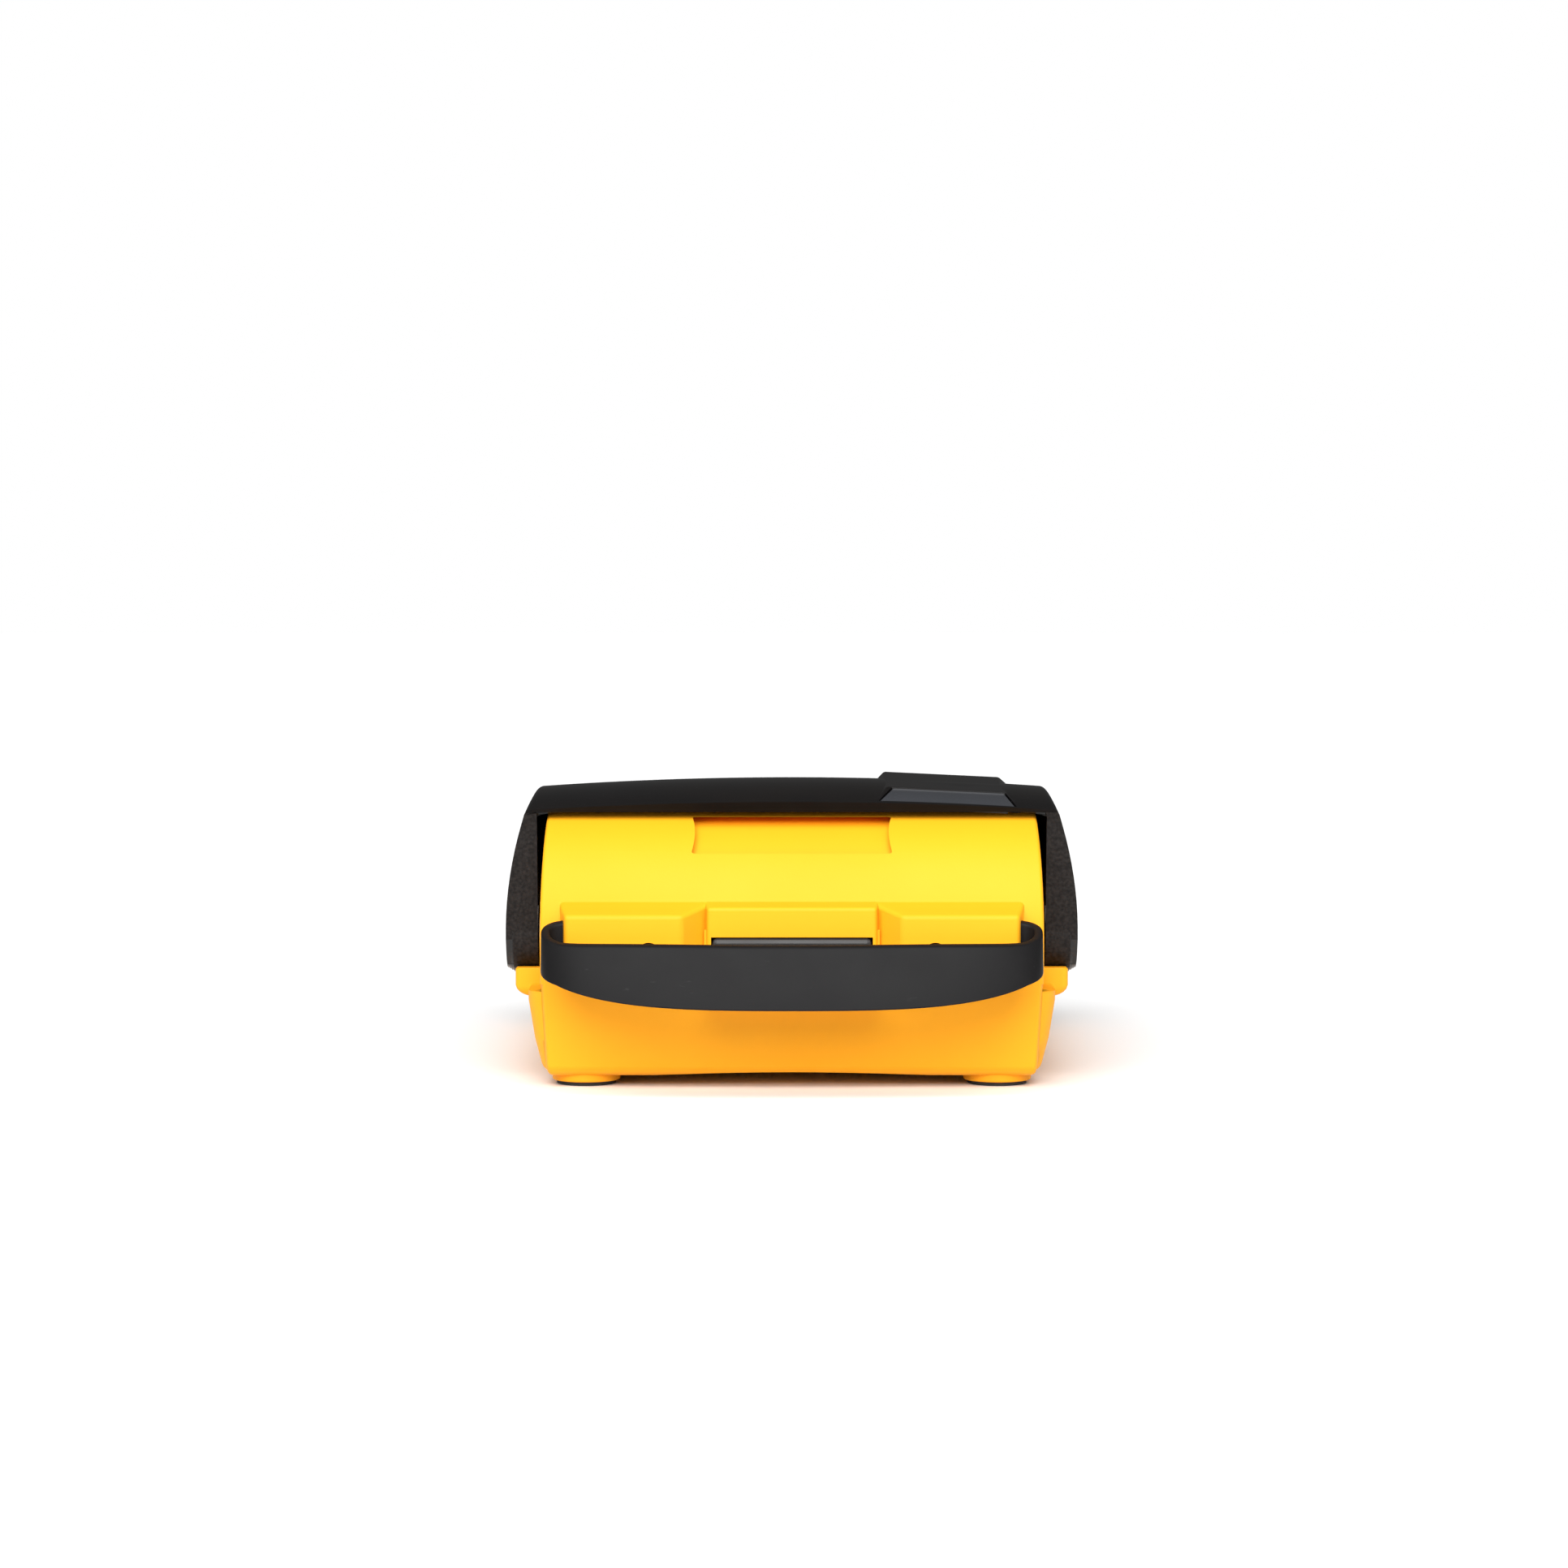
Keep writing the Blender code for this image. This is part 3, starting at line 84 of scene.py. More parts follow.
# %% Sizes
base_low, base_high = (Vector(corner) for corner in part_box("base_shell"))
lid_high = Vector(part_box("lid_shell")[1])
DRUM_RADIUS = 46 * MM
DRUM_HALF = 87.6 * MM
ARM_INNER = 90 * MM
LID_HALF = lid_high.x
BARREL_RADIUS = 13.6 * MM
WING_REACH = 54.5 * MM               # from the hinge to the face of a wing
BLOCK_REACH = 50.5 * MM
WALL = 3 * MM
LID_END = lid_high.y - HINGE.y       # from the hinge to the user's end
CASE_END = LID_END - 3.5 * MM
TUB_TOP = 65 * MM
FLANGE_BOTTOM, FLANGE_TOP = 30 * MM, 40 * MM
CASE_BOTTOM = 4 * MM
BAY_HALF = 28 * MM
BAY_LOW, BAY_HIGH = 33.5 * MM, 54 * MM
print("case box", tuple(round(v / MM, 1) for v in base_high - base_low), "mm")

# %% [markdown]
# ## Tools of the bench
#
# In edit mode an operator acts on all that is selected, so picking is done in
# code, by place or by angle, after everything else is let go. These helpers
# keep each later step short: pick, round, join, cut and settle.

# %% Picking and joining helpers
def only(piece):
    bpy.ops.object.select_all(action="DESELECT")
    piece.select_set(True)
    bpy.context.view_layer.objects.active = piece


def open_mesh(piece, kind="EDGE"):
    only(piece)
    bpy.ops.object.mode_set(mode="EDIT")
    bpy.ops.mesh.select_mode(type=kind)
    return bmesh.from_edit_mesh(piece.data)


def close_mesh():
    bpy.ops.object.mode_set(mode="OBJECT")


def pick(piece, kind, test):
    """Select the vertices, edges or faces that pass a test, and count them."""
    mesh = open_mesh(piece, kind)
    bpy.ops.mesh.select_all(action="DESELECT")
    items = {"VERT": mesh.verts, "EDGE": mesh.edges, "FACE": mesh.faces}[kind]
    found = [item for item in items if test(item)]
    for item in found:
        item.select_set(True)
    bmesh.update_edit_mesh(piece.data)
    return len(found)


def started(name):
    """Name the primitive just added and put its place into its mesh."""
    piece = bpy.context.object
    piece.name = piece.data.name = name
    bpy.ops.object.transform_apply(location=True, rotation=True, scale=True)
    return piece


def bar(name, low, high):
    """A box between two corners."""
    bpy.ops.object.select_all(action="DESELECT")
    low, high = Vector(low), Vector(high)
    bpy.ops.mesh.primitive_cube_add(size=1, location=(low + high) / 2, scale=high - low)
    return started(name)


AXES = {"X": (0, math.pi / 2, 0), "Y": (-math.pi / 2, 0, 0), "Z": (0, 0, 0)}


def rod(name, axis, radius, centre, length, sides=64):
    """A cylinder about X, Y or Z."""
    bpy.ops.object.select_all(action="DESELECT")
    bpy.ops.mesh.primitive_cylinder_add(vertices=sides, radius=radius, depth=length,
                                        location=centre, rotation=AXES[axis])
    return started(name)


def round_sharp(piece, width, segments=3, angle=40):
    """Bevel every edge sharper than the angle."""
    open_mesh(piece)
    bpy.ops.mesh.select_all(action="DESELECT")
    bpy.ops.mesh.edges_select_sharp(sharpness=math.radians(angle))
    bpy.ops.mesh.bevel(offset=width, segments=segments, affect="EDGES", clamp_overlap=True)
    close_mesh()
    return piece


def combine(piece, tool, how):
    """Join, cut or intersect with another solid, which is used up."""
    step = piece.modifiers.new("step", "BOOLEAN")
    step.operation, step.solver, step.object = how, "EXACT", tool
    only(piece)
    bpy.ops.object.modifier_apply(modifier=step.name)
    bpy.data.objects.remove(tool)


NEW_PIECES = []


def settle(piece, body, slot, *nodes, angle=32, even=False):
    """Smooth the piece, give it its body and slot, and stand it in for CAD nodes."""
    only(piece)
    bpy.ops.object.shade_smooth_by_angle(angle=math.radians(angle))
    if even:
        step = piece.modifiers.new("even_normals", "WEIGHTED_NORMAL")
        step.keep_sharp = True
        bpy.ops.object.modifier_apply(modifier=step.name)
    if body:
        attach(piece, body)
    if nodes:
        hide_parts(*nodes)
    NEW_PIECES.append((piece, slot))
    print(piece.name, len(piece.data.polygons), "faces")
    return piece


def skin(name, rings, closed=True):
    """A closed skin over rings of points, for shapes that no operator sweeps."""
    mesh = bmesh.new()
    loops = [[mesh.verts.new(point) for point in ring] for ring in rings]
    for near, far in zip(loops, loops[1:]):
        for i in range(len(near)):
            j = (i + 1) % len(near)
            mesh.faces.new((near[i], near[j], far[j], far[i]))
    if closed:
        mesh.faces.new(loops[0][::-1])
        mesh.faces.new(loops[-1])
    bmesh.ops.recalc_face_normals(mesh, faces=mesh.faces)
    data = bpy.data.meshes.new(name)
    mesh.to_mesh(data)
    mesh.free()
    piece = bpy.data.objects.new(name, data)
    bpy.context.scene.collection.objects.link(piece)
    return piece


print("bench ready")

# %% [markdown]
# ## Floor, light and camera
#
# The object stands on a plain pale floor under wide soft lights. The camera is
# about a metre and a half in front of the strap end, a little above it and
# tipped down three degrees, so the top of the lid shows as a thin slope.

# %% Floor
bpy.ops.object.select_all(action="DESELECT")
bpy.ops.mesh.primitive_plane_add(size=12, location=(0, 3.5, 0))
floor = started("studio_floor")
floor_paint = bpy.data.materials.new("floor_paper")
floor_paint.use_nodes = True
shader = floor_paint.node_tree.nodes["Principled BSDF"]
shader.inputs["Base Color"].default_value = (0.93, 0.93, 0.93, 1)
shader.inputs["Roughness"].default_value = 0.9
shader.inputs["Specular IOR Level"].default_value = 0.1
floor.data.materials.append(floor_paint)
print("floor is", round(floor.dimensions.x, 1), "m wide")


# %% Lights
def softbox(name, place, target, size, power):
    lamp = bpy.data.lights.new(name, "AREA")
    lamp.shape, lamp.size, lamp.size_y, lamp.energy = "RECTANGLE", size[0], size[1], power
    box = bpy.data.objects.new(name, lamp)
    box.location = place
    box.rotation_euler = (Vector(target) - Vector(place)).to_track_quat("-Z", "Y").to_euler()
    bpy.context.scene.collection.objects.link(box)
    return box


aim = (0, -0.05, 0.05)
softbox("left_front", (-1.1, -1.6, 0.75), aim, (0.9, 1.2), 8)
softbox("right_front", (1.2, -1.5, 0.75), aim, (0.9, 1.2), 7)
sun = bpy.data.lights.new("overhead_scrim", "SUN")
sun.energy, sun.angle = 5.0, math.radians(60)
scrim = bpy.data.objects.new("overhead_scrim", sun)
scrim.rotation_euler = (math.radians(44), math.radians(-4), 0)
bpy.context.scene.collection.objects.link(scrim)

world = bpy.data.worlds.new("studio")
bpy.context.scene.world = world
world.use_nodes = True
sky = world.node_tree.nodes
links = world.node_tree.links
white = sky.new("ShaderNodeBackground")
white.inputs["Color"].default_value = (1, 1, 1, 1)
white.inputs["Strength"].default_value = 1.0
room = sky["Background"]
room.inputs["Color"].default_value = (1, 1, 1, 1)
room.inputs["Strength"].default_value = 0.06
choice = sky.new("ShaderNodeMixShader")
ray = sky.new("ShaderNodeLightPath")
links.new(ray.outputs["Is Camera Ray"], choice.inputs["Fac"])
links.new(room.outputs[0], choice.inputs[1])
links.new(white.outputs[0], choice.inputs[2])
links.new(choice.outputs[0], sky["World Output"].inputs["Surface"])
bpy.context.scene.view_settings.view_transform = "Standard"
print("a wide overhead scrim, two softboxes and an even room")

# %% Camera
lens = bpy.data.cameras.new("camera")
lens.lens, lens.sensor_width = 96.4, 36
camera = bpy.data.objects.new("camera", lens)
camera.location = HINGE + Vector((-2.75, -1498, 132)) * MM
camera.rotation_euler = (math.radians(87), 0, 0)
bpy.context.scene.collection.objects.link(camera)
bpy.context.scene.camera = camera
print("camera", tuple(round(v, 3) for v in camera.location))

# %% [markdown]
# ## The yellow case
#
# The real case is one moulding: a tub that widens towards a ledge, a round end
# like a drum, and four blocks that stand out of the drum. It could be sculpted
# from one cube, but a moulder thinks in simple solids that run together, so
# each solid is made and rounded by itself and then joined. The tub is a flat
# outline, drawn up level by level and resized at each.

# %% Outline tools
def rounded_outline(name, half, front, back, z, front_corner, back_corner, segments=10):
    """A flat rounded rectangle; front and back are measured from the hinge."""
    bpy.ops.object.select_all(action="DESELECT")
    middle = HINGE.y + (front + back) / 2
    bpy.ops.mesh.primitive_plane_add(size=1, location=(0, middle, z))
    bpy.context.object.scale = (2 * half, back - front, 1)
    piece = started(name)
    for radius, rear in ((back_corner, True), (front_corner, False)):
        limit = middle + (1 if rear else -1) * (back - front) * 0.499
        pick(piece, "VERT", lambda v: v.co.y > limit if rear else v.co.y < limit)
        bpy.ops.mesh.bevel(offset=radius, segments=segments, affect="VERTICES",
                           clamp_overlap=False)
        close_mesh()
    return piece


def draw_up(piece, levels):
    """Extrude the top outline to each (z, half, front, back) and resize it there."""
    mesh = open_mesh(piece, "FACE")
    bpy.ops.mesh.select_all(action="SELECT")
    for z, half, front, back in levels:
        corners = [v.co.copy() for v in mesh.verts if v.select]
        low = [min(c[i] for c in corners) for i in range(3)]
        high = [max(c[i] for c in corners) for i in range(3)]
        bpy.ops.mesh.extrude_region_move(
            TRANSFORM_OT_translate={"value": (0, HINGE.y + front - low[1], z - low[2])})
        size = (2 * half / (high[0] - low[0]), (back - front) / (high[1] - low[1]), 1)
        bpy.ops.transform.resize(value=size, center_override=(0, HINGE.y + front, z))
        mesh = bmesh.from_edit_mesh(piece.data)
    bpy.ops.mesh.select_all(action="SELECT")
    bpy.ops.mesh.normals_make_consistent(inside=False)
    close_mesh()
    return piece


def case_front(height):
    """The end wall leans back below the drum, from where it leaves the round."""
    lean = math.radians(12)
    leave = HINGE.z - DRUM_RADIUS * math.sin(lean)
    return -DRUM_RADIUS * math.cos(lean) + max(leave - height, 0) * math.tan(lean)


def tub(name, inset, top):
    """The tub, or its inside when inset by the wall."""
    low = CASE_BOTTOM + inset
    levels = [(low, 84, 5), (low + 0.5 * MM, 85.6, 3.4), (low + 1.3 * MM, 86.7, 2.2),
              (low + 2.5 * MM, 87.6, 1.1), (low + 3.9 * MM, 88.1, 0.5), (17 * MM, 90.3, 0),
              (30.5 * MM, 92.3, 0), (34 * MM, 92.3, 0), (34.5 * MM, 88, 0), (top, 88, 0)]
    drawn = []
    for z, half, pull in levels:
        back = CASE_END - max(FLANGE_BOTTOM - z, 0) * 0.2
        if z > FLANGE_BOTTOM + 4.2 * MM:
            back = CASE_END - 4 * MM
        front = case_front(z) + (pull + (1.5 if z > HINGE.z - 12 * MM else 2.5)) * MM
        drawn.append((z, half * MM - inset, front + inset, back - inset - pull * MM))
    z, half, front, back = drawn[0]
    piece = rounded_outline(name, half, front, back, z, 8 * MM, 26 * MM - inset)
    return draw_up(piece, drawn[1:])


case = tub("case_moulding", 0, TUB_TOP)
print("tub", len(case.data.vertices), "points")


# %% Drum and ledge
drum = rod("drum", "X", DRUM_RADIUS, HINGE, 2 * DRUM_HALF, 160)
round_sharp(drum, 1.3 * MM, 4, 60)
CREST_TAPER = 0.015                  # the drum's ends draw in by this share at its crest
for vert in drum.data.vertices:
    height = max(vert.co.z - HINGE.z, 0) / DRUM_RADIUS
    vert.co.x *= 1 - CREST_TAPER * height ** 2
trim = bar("trim", (-0.1, HINGE.y - 0.1, -0.05), (0.1, HINGE.y + 0.1, HINGE.z - 14 * MM))
combine(drum, trim, "DIFFERENCE")
combine(case, drum, "UNION")

ledge_levels = [(FLANGE_BOTTOM, 4), (FLANGE_BOTTOM + 0.5 * MM, 2.7),
                (FLANGE_BOTTOM + 1.3 * MM, 1.5), (FLANGE_BOTTOM + 2.4 * MM, 0.5),
                (FLANGE_BOTTOM + 3.8 * MM, 0), (FLANGE_TOP - 0.5 * MM, 0), (FLANGE_TOP, 0.5)]
drawn = [(z, 98 * MM - pull * MM, (-15.5 + pull * 0.5) * MM,
          CASE_END + (0.5 - pull) * MM) for z, pull in ledge_levels]
z, half, front, back = drawn[0]
ledge = rounded_outline("ledge", half, front, back, z, 2 * MM, 27 * MM)
draw_up(ledge, drawn[1:])
combine(case, ledge, "UNION")

# The wall below the drum stands proud of the tub's corners
drawn = [(CASE_BOTTOM + rise * MM, DRUM_HALF - narrower * MM,
          case_front(CASE_BOTTOM + rise * MM) + pull * MM, case_front(0) + 8 * MM)
         for rise, narrower, pull in ((0, 3.2, 4), (0.5, 2.6, 2.4), (1.3, 2.1, 1.3),
                                      (2.5, 1.8, 0.5), (3.9, 1.5, 0.1), (35, 0, 0))]
z, half, front, back = drawn[0]
end_panel = rounded_outline("end_panel", half, front, back, z, 1.5 * MM, 1 * MM)
draw_up(end_panel, drawn[1:])
combine(case, end_panel, "UNION")
arch_radius = 0.85
combine(case, rod("arched_foot_line", "Y", arch_radius, (0, 0, CASE_BOTTOM + 1.4 * MM
                                                         - arch_radius), 0.5, 512),
        "DIFFERENCE")
print("drum, ledge and end wall joined")


# %% Blocks of the strap end
def drafted(name, root, face, rounding):
    """A cube whose corners are moved to a root and a smaller face, then rounded."""
    piece = bar(name, (-1, -1, -1), (1, 1, 1))
    mesh = open_mesh(piece, "VERT")
    for vert in mesh.verts:
        ring = root if vert.co.y > 0 else face
        inner, outer, high, low, y, bend = ring
        x = outer if vert.co.x > 0 else inner
        up = vert.co.z > 0
        vert.co = HINGE + Vector((x, y + (bend if up else 0), high if up else low)) * MM
    bmesh.update_edit_mesh(piece.data)
    bpy.ops.mesh.select_all(action="SELECT")
    bpy.ops.mesh.normals_make_consistent(inside=False)
    close_mesh()
    return round_sharp(piece, rounding, 4, 20)


combine(case, drafted("middle_block", (-31, 31, 15.6, -22, -40, 0),
                      (-29.3, 29.3, 13.2, -20.3, -50.5, 0), 1.2 * MM), "UNION")
for side in (-1, 1):
    root = sorted((24 * side, 81.5 * side))
    face = sorted((38 * side, 78.5 * side))
    combine(case, drafted("wing", (*root, 16, -14.5, -40, 0),
                          (*face, 10.7, -9.5, -54.5, 0), 1.4 * MM), "UNION")
high, low = math.radians(66.5), math.radians(43.9)
tab = drafted("tab", (-41, 41, 41 * math.sin(high + 0.1), 41 * math.sin(low - 0.1),
                      -41 * math.cos(low - 0.1),
                      41 * (math.cos(low - 0.1) - math.cos(high + 0.1))),
              (-32.3, 32.3, 48.6 * math.sin(high), 48.6 * math.sin(low),
               -48.6 * math.cos(low), 48.6 * (math.cos(low) - math.cos(high))), 1.0 * MM)
combine(case, tab, "UNION")
for node in ("front_left", "front_right", "rear_left", "rear_right"):
    low, high = (Vector(corner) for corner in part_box("rubber_foot_" + node))
    centre = (low + high) / 2
    pad = rod("foot_pad", "Z", 12 * MM, (centre.x, centre.y, 4.2 * MM), 5.6 * MM, 48)
    round_sharp(pad, 0.7 * MM, 3)
    combine(case, pad, "UNION")
print("blocks and foot pads joined:", len(case.data.polygons), "faces")

# %% [markdown]
# The case is hollow, so it is cut out after all is joined. The bay for the
# charger, the strap's slots, the screw recesses and the round seats of the
# lid's barrels are cut last, because they go through more than one solid.

# %% Hollow and openings
combine(case, tub("tub_inside", WALL, TUB_TOP + 5 * MM), "DIFFERENCE")
combine(case, rod("drum_inside", "X", DRUM_RADIUS - WALL, HINGE, 2 * (DRUM_HALF - WALL), 96),
        "DIFFERENCE")
bay_front, bay_back = HINGE.y - BLOCK_REACH, HINGE.y - BLOCK_REACH + 21 * MM
combine(case, bar("bay_walls", (-BAY_HALF - 2.4 * MM, bay_front + 2 * MM, BAY_LOW - 2.4 * MM),
                  (BAY_HALF + 2.4 * MM, bay_back + 2.4 * MM, BAY_HIGH + 2.4 * MM)), "UNION")
combine(case, bar("bay", (-BAY_HALF, bay_front - 5 * MM, BAY_LOW),
                  (BAY_HALF, bay_back, BAY_HIGH)), "DIFFERENCE")
strap_plane = STRAP_PIVOT.y
for name, side in (("left", -1), ("right", 1)):
    low, high = (Vector(corner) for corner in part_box("strap_tongue_" + name))
    reach = sorted((side * 45 * MM, side * 90 * MM))
    combine(case, bar("strap_slot", (reach[0], strap_plane - 1.8 * MM, low.z - 0.3 * MM),
                      (reach[1], strap_plane + 1.8 * MM, high.z + 0.3 * MM)), "DIFFERENCE")
    low, high = (Vector(corner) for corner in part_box("strap_screw_" + name))
    screw = Vector(((low.x + high.x) / 2, HINGE.y - WING_REACH, (low.z + high.z) / 2))
    combine(case, rod("screw_recess", "Y", 4.5 * MM, screw, 8 * MM, 48), "DIFFERENCE")
    combine(case, rod("screw_hole", "Y", 2 * MM, screw, 40 * MM, 24), "DIFFERENCE")
    across = HINGE + Vector((side * DRUM_HALF, 0, 0))
    combine(case, rod("bush_seat", "X", 11 * MM, across - Vector((side * 5 * MM, 0, 0)),
                      8 * MM, 48), "UNION")
    combine(case, rod("bush_hole", "X", 7.3 * MM, across, 40 * MM, 48), "DIFFERENCE")
    combine(case, rod("barrel_seat", "X", BARREL_RADIUS + 0.6 * MM,
                      HINGE + Vector((side * 99 * MM, 0, 0)), 20 * MM, 96), "DIFFERENCE")
print("openings cut:", len(case.data.polygons), "faces")


# %% Feet, latch and screw holes
for node in ("front_left", "front_right", "rear_left", "rear_right"):
    low, high = (Vector(corner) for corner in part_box("rubber_foot_" + node))
    centre = (low + high) / 2
    combine(case, rod("foot_recess", "Z", 10.7 * MM, (centre.x, centre.y, 0), 6 * MM, 48),
            "DIFFERENCE")
    low, high = (Vector(corner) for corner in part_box("deck_screw_" + node))
    centre = (low + high) / 2
    inner = 4.5 * MM if centre.x > 0 else 8 * MM
    combine(case, bar("deck_boss", (centre.x - inner, centre.y - 4.5 * MM, FLANGE_TOP),
                      (centre.x + 12.5 * MM - inner, centre.y + 4.5 * MM, TUB_TOP - 0.4 * MM)),
            "UNION")
    combine(case, rod("deck_screw_hole", "Z", 1.8 * MM, (centre.x, centre.y, TUB_TOP),
                      36 * MM, 16), "DIFFERENCE")
    low, high = (Vector(corner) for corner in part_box("board_screw_" + node))
    centre = (low + high) / 2
    combine(case, rod("board_post", "Z", 4 * MM, (centre.x, centre.y, 26.4 * MM), 42.4 * MM, 24),
            "UNION")
    combine(case, rod("board_screw_hole", "Z", 1.8 * MM, (centre.x, centre.y, 48 * MM),
                      24 * MM, 16), "DIFFERENCE")
end = HINGE.y + CASE_END
for node, gap in (("release_button", 0.4 * MM), ("infrared_window", 0.3 * MM)):
    low, high = (Vector(corner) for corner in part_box(node))
    combine(case, bar("opening", (low.x - gap, end - 12 * MM, low.z - gap),
                      (high.x + gap, end + 5 * MM, high.z + gap)), "DIFFERENCE")
combine(case, bar("hook_slot", (-9 * MM, end - 12 * MM, 50 * MM),
                  (9 * MM, end - 3 * MM, 56 * MM)), "DIFFERENCE")
settle(case, "case", "yellow_plastic", "base_shell", even=True)

# %% [markdown]
# ## The black lid
#
# The lid is one thin moulding: a crowned top that falls away to both ends,
# sides that draw in as they rise, a round far end, and two thick arms that come
# down outside the drum. Such a double curve can't be extruded, so its skin is
# laid over a net of points: each point's place along the arch and along the lid
# is worked out from the same few curves. The net ends exactly on the lid's cut
# edges, so those edges can be rounded with a clean bevel afterwards.

# %% Curves of the lid
LID_RISE = 54.9 * MM
LID_CREST = 18 * MM
LOWER_EDGE = FLANGE_TOP + 0.6 * MM - HINGE.z
RIM_ANGLE = math.radians(65.3)
STEP_NEAR, STEP_FAR = 24 * MM, 30 * MM    # where the arms thin down to the walls


def side_width(z):
    return LID_HALF - 3.7 * z ** 2


def crest_height(y):
    straight = LID_CREST + 0.12 / (2 * 4.08)
    return (LID_RISE - 4.08 * (min(y, straight) - LID_CREST) ** 2
            - 0.12 * max(y - straight, 0))


def round_drop(y, end, radius):
    into = max(y - (end - radius), 0)
    return radius - math.sqrt(max(radius ** 2 - into ** 2, 0))


def front_edge(z):
    """Where the lid's cut front edge lies at a height, from the hinge."""
    inside = BARREL_RADIUS - 0.4 * MM
    if z < 1 * MM:
        return -math.sqrt(inside ** 2 - z ** 2)
    corners = [(1 * MM, -inside), (12 * MM, -15 * MM),
               (44 * MM * math.sin(RIM_ANGLE), -44 * MM * math.cos(RIM_ANGLE))]
    for (z0, y0), (z1, y1) in zip(corners, corners[1:]):
        if z <= z1:
            return y0 + (y1 - y0) * max(z - z0, 0) / (z1 - z0)
    return -z / math.tan(RIM_ANGLE)


SIDE_STEPS, CORNER_STEPS, TOP_STEPS = 12, 10, 16


def arch(column, y, inset, inner_half):
    """A point of the arch at y: columns run from the right foot over to the left."""
    half_columns = SIDE_STEPS + CORNER_STEPS + TOP_STEPS
    step, mirror = (column, 1) if column <= half_columns else (2 * half_columns - column, -1)
    end = LID_END - inset
    top = crest_height(y) - inset - round_drop(y, end, 14 * MM - inset)
    draw_in = round_drop(y, end, 30 * MM - inset)

    def top_at(x):
        return top - 4 * MM * (x / LID_HALF) ** 2

    def side_at(z):
        return inner_half if inner_half else side_width(z) - inset

    corner_z = top_at(side_width(top))
    corner_x = side_at(corner_z)
    radius = max(2.2 * MM - inset, 1 * MM)
    if step <= SIDE_STEPS:
        z = LOWER_EDGE + (corner_z - radius - LOWER_EDGE) * step / SIDE_STEPS
        x = side_at(z)
    elif step <= SIDE_STEPS + CORNER_STEPS:
        t = (step - SIDE_STEPS) / CORNER_STEPS
        start = (side_at(corner_z - radius), corner_z - radius)
        stop = (corner_x - radius, top_at(corner_x - radius))
        x, z = (start[k] * (1 - t) ** 2 + 2 * (corner_x, corner_z)[k] * t * (1 - t)
                + stop[k] * t ** 2 for k in (0, 1))
    else:
        share = 1 - (step - SIDE_STEPS - CORNER_STEPS) / TOP_STEPS
        x = (corner_x - radius) * share
        z = top_at(x)
    return mirror * x * (1 - draw_in / corner_x), z


print("crest of the lid", round((HINGE.z + LID_RISE) / MM, 1), "mm above the floor")


# %% Skin of the lid
FRONT_ROWS = 9
LIP_RADIUS, LIP_ANGLE = 49.2 * MM, math.radians(3.5)


def lid_row(row, inset):
    """One row of points across the lid; the first row lies on the cut edge."""
    columns = 2 * (SIDE_STEPS + CORNER_STEPS + TOP_STEPS) + 1
    inner = ARM_INNER if inset else None
    points = []
    for column in range(columns):
        if row > FRONT_ROWS:
            y = lid_stations(inset)[row - FRONT_ROWS - 1]
            x, z = arch(column, y, inset, None)
        elif inset and row < 2:
            x, y, z = lip_point(column, row)
        else:
            plane = RIM_ANGLE + (LIP_ANGLE if inset else 0)
            side = min(column, columns - 1 - column) <= SIDE_STEPS
            share = max(row - 2, 0) / (FRONT_ROWS - 2) if inset else row / FRONT_ROWS
            y = 0
            for _ in range(12):
                x, z = arch(column, y, inset, inner)
                if inset:
                    start = front_edge(z) + 3.3 * MM if side else -z / math.tan(plane)
                else:
                    start = front_edge(z)
                y = start + (STEP_NEAR - start) * share
        points.append(HINGE + Vector((x, y, z)))
    return points


def lip_point(column, row):
    """The near edge turns down between the arms; rows 0 and 1 are its two corners."""
    half_columns = SIDE_STEPS + CORNER_STEPS + TOP_STEPS
    step, mirror = (column, 1) if column <= half_columns else (2 * half_columns - column, -1)
    angle = RIM_ANGLE + LIP_ANGLE * row
    y, z = -LIP_RADIUS * math.cos(angle), LIP_RADIUS * math.sin(angle)
    if step > SIDE_STEPS:
        share = 1 - (step - SIDE_STEPS) / (CORNER_STEPS + TOP_STEPS)
        return mirror * ARM_INNER * share, y, z
    height = LOWER_EDGE + (z - LOWER_EDGE) * step / SIDE_STEPS
    edge = front_edge(height) + 2.7 * MM * row if step < SIDE_STEPS else y
    return mirror * ARM_INNER, edge, height


def lid_stations(inset):
    """Rows behind the arms, closer together in the round corners."""
    end, corner = LID_END - inset, 30 * MM - inset
    first = STEP_FAR if inset else STEP_NEAR + 3 * MM
    places = [first + (end - corner - first) * i / 10 for i in range(11)]
    return places + [end - corner + corner * math.sin(math.radians(angle))
                     for angle in (9, 18, 27, 36, 45, 53, 60, 66, 72, 77, 81, 85, 88)]


outer = [lid_row(row, 0) for row in range(FRONT_ROWS + 25)]
inner = [lid_row(row, WALL) for row in range(FRONT_ROWS + 25)]
mesh = bmesh.new()
nets = [[[mesh.verts.new(point) for point in row] for row in net] for net in (outer, inner)]
last = len(outer[0]) - 1
for net in nets:
    for near, far in zip(net, net[1:]):
        for i in range(last):
            mesh.faces.new((near[i], near[i + 1], far[i + 1], far[i]))
    mesh.faces.new(net[-1])
skin_out, skin_in = nets
for i in range(last):
    mesh.faces.new((skin_out[0][i], skin_out[0][i + 1], skin_in[0][i + 1], skin_in[0][i]))
for near, far, near_in, far_in in zip(skin_out, skin_out[1:], skin_in, skin_in[1:]):
    for i in (0, last):
        mesh.faces.new((near[i], far[i], far_in[i], near_in[i]))
mesh.faces.new((skin_out[-1][0], skin_out[-1][last], skin_in[-1][last], skin_in[-1][0]))
bmesh.ops.recalc_face_normals(mesh, faces=mesh.faces)
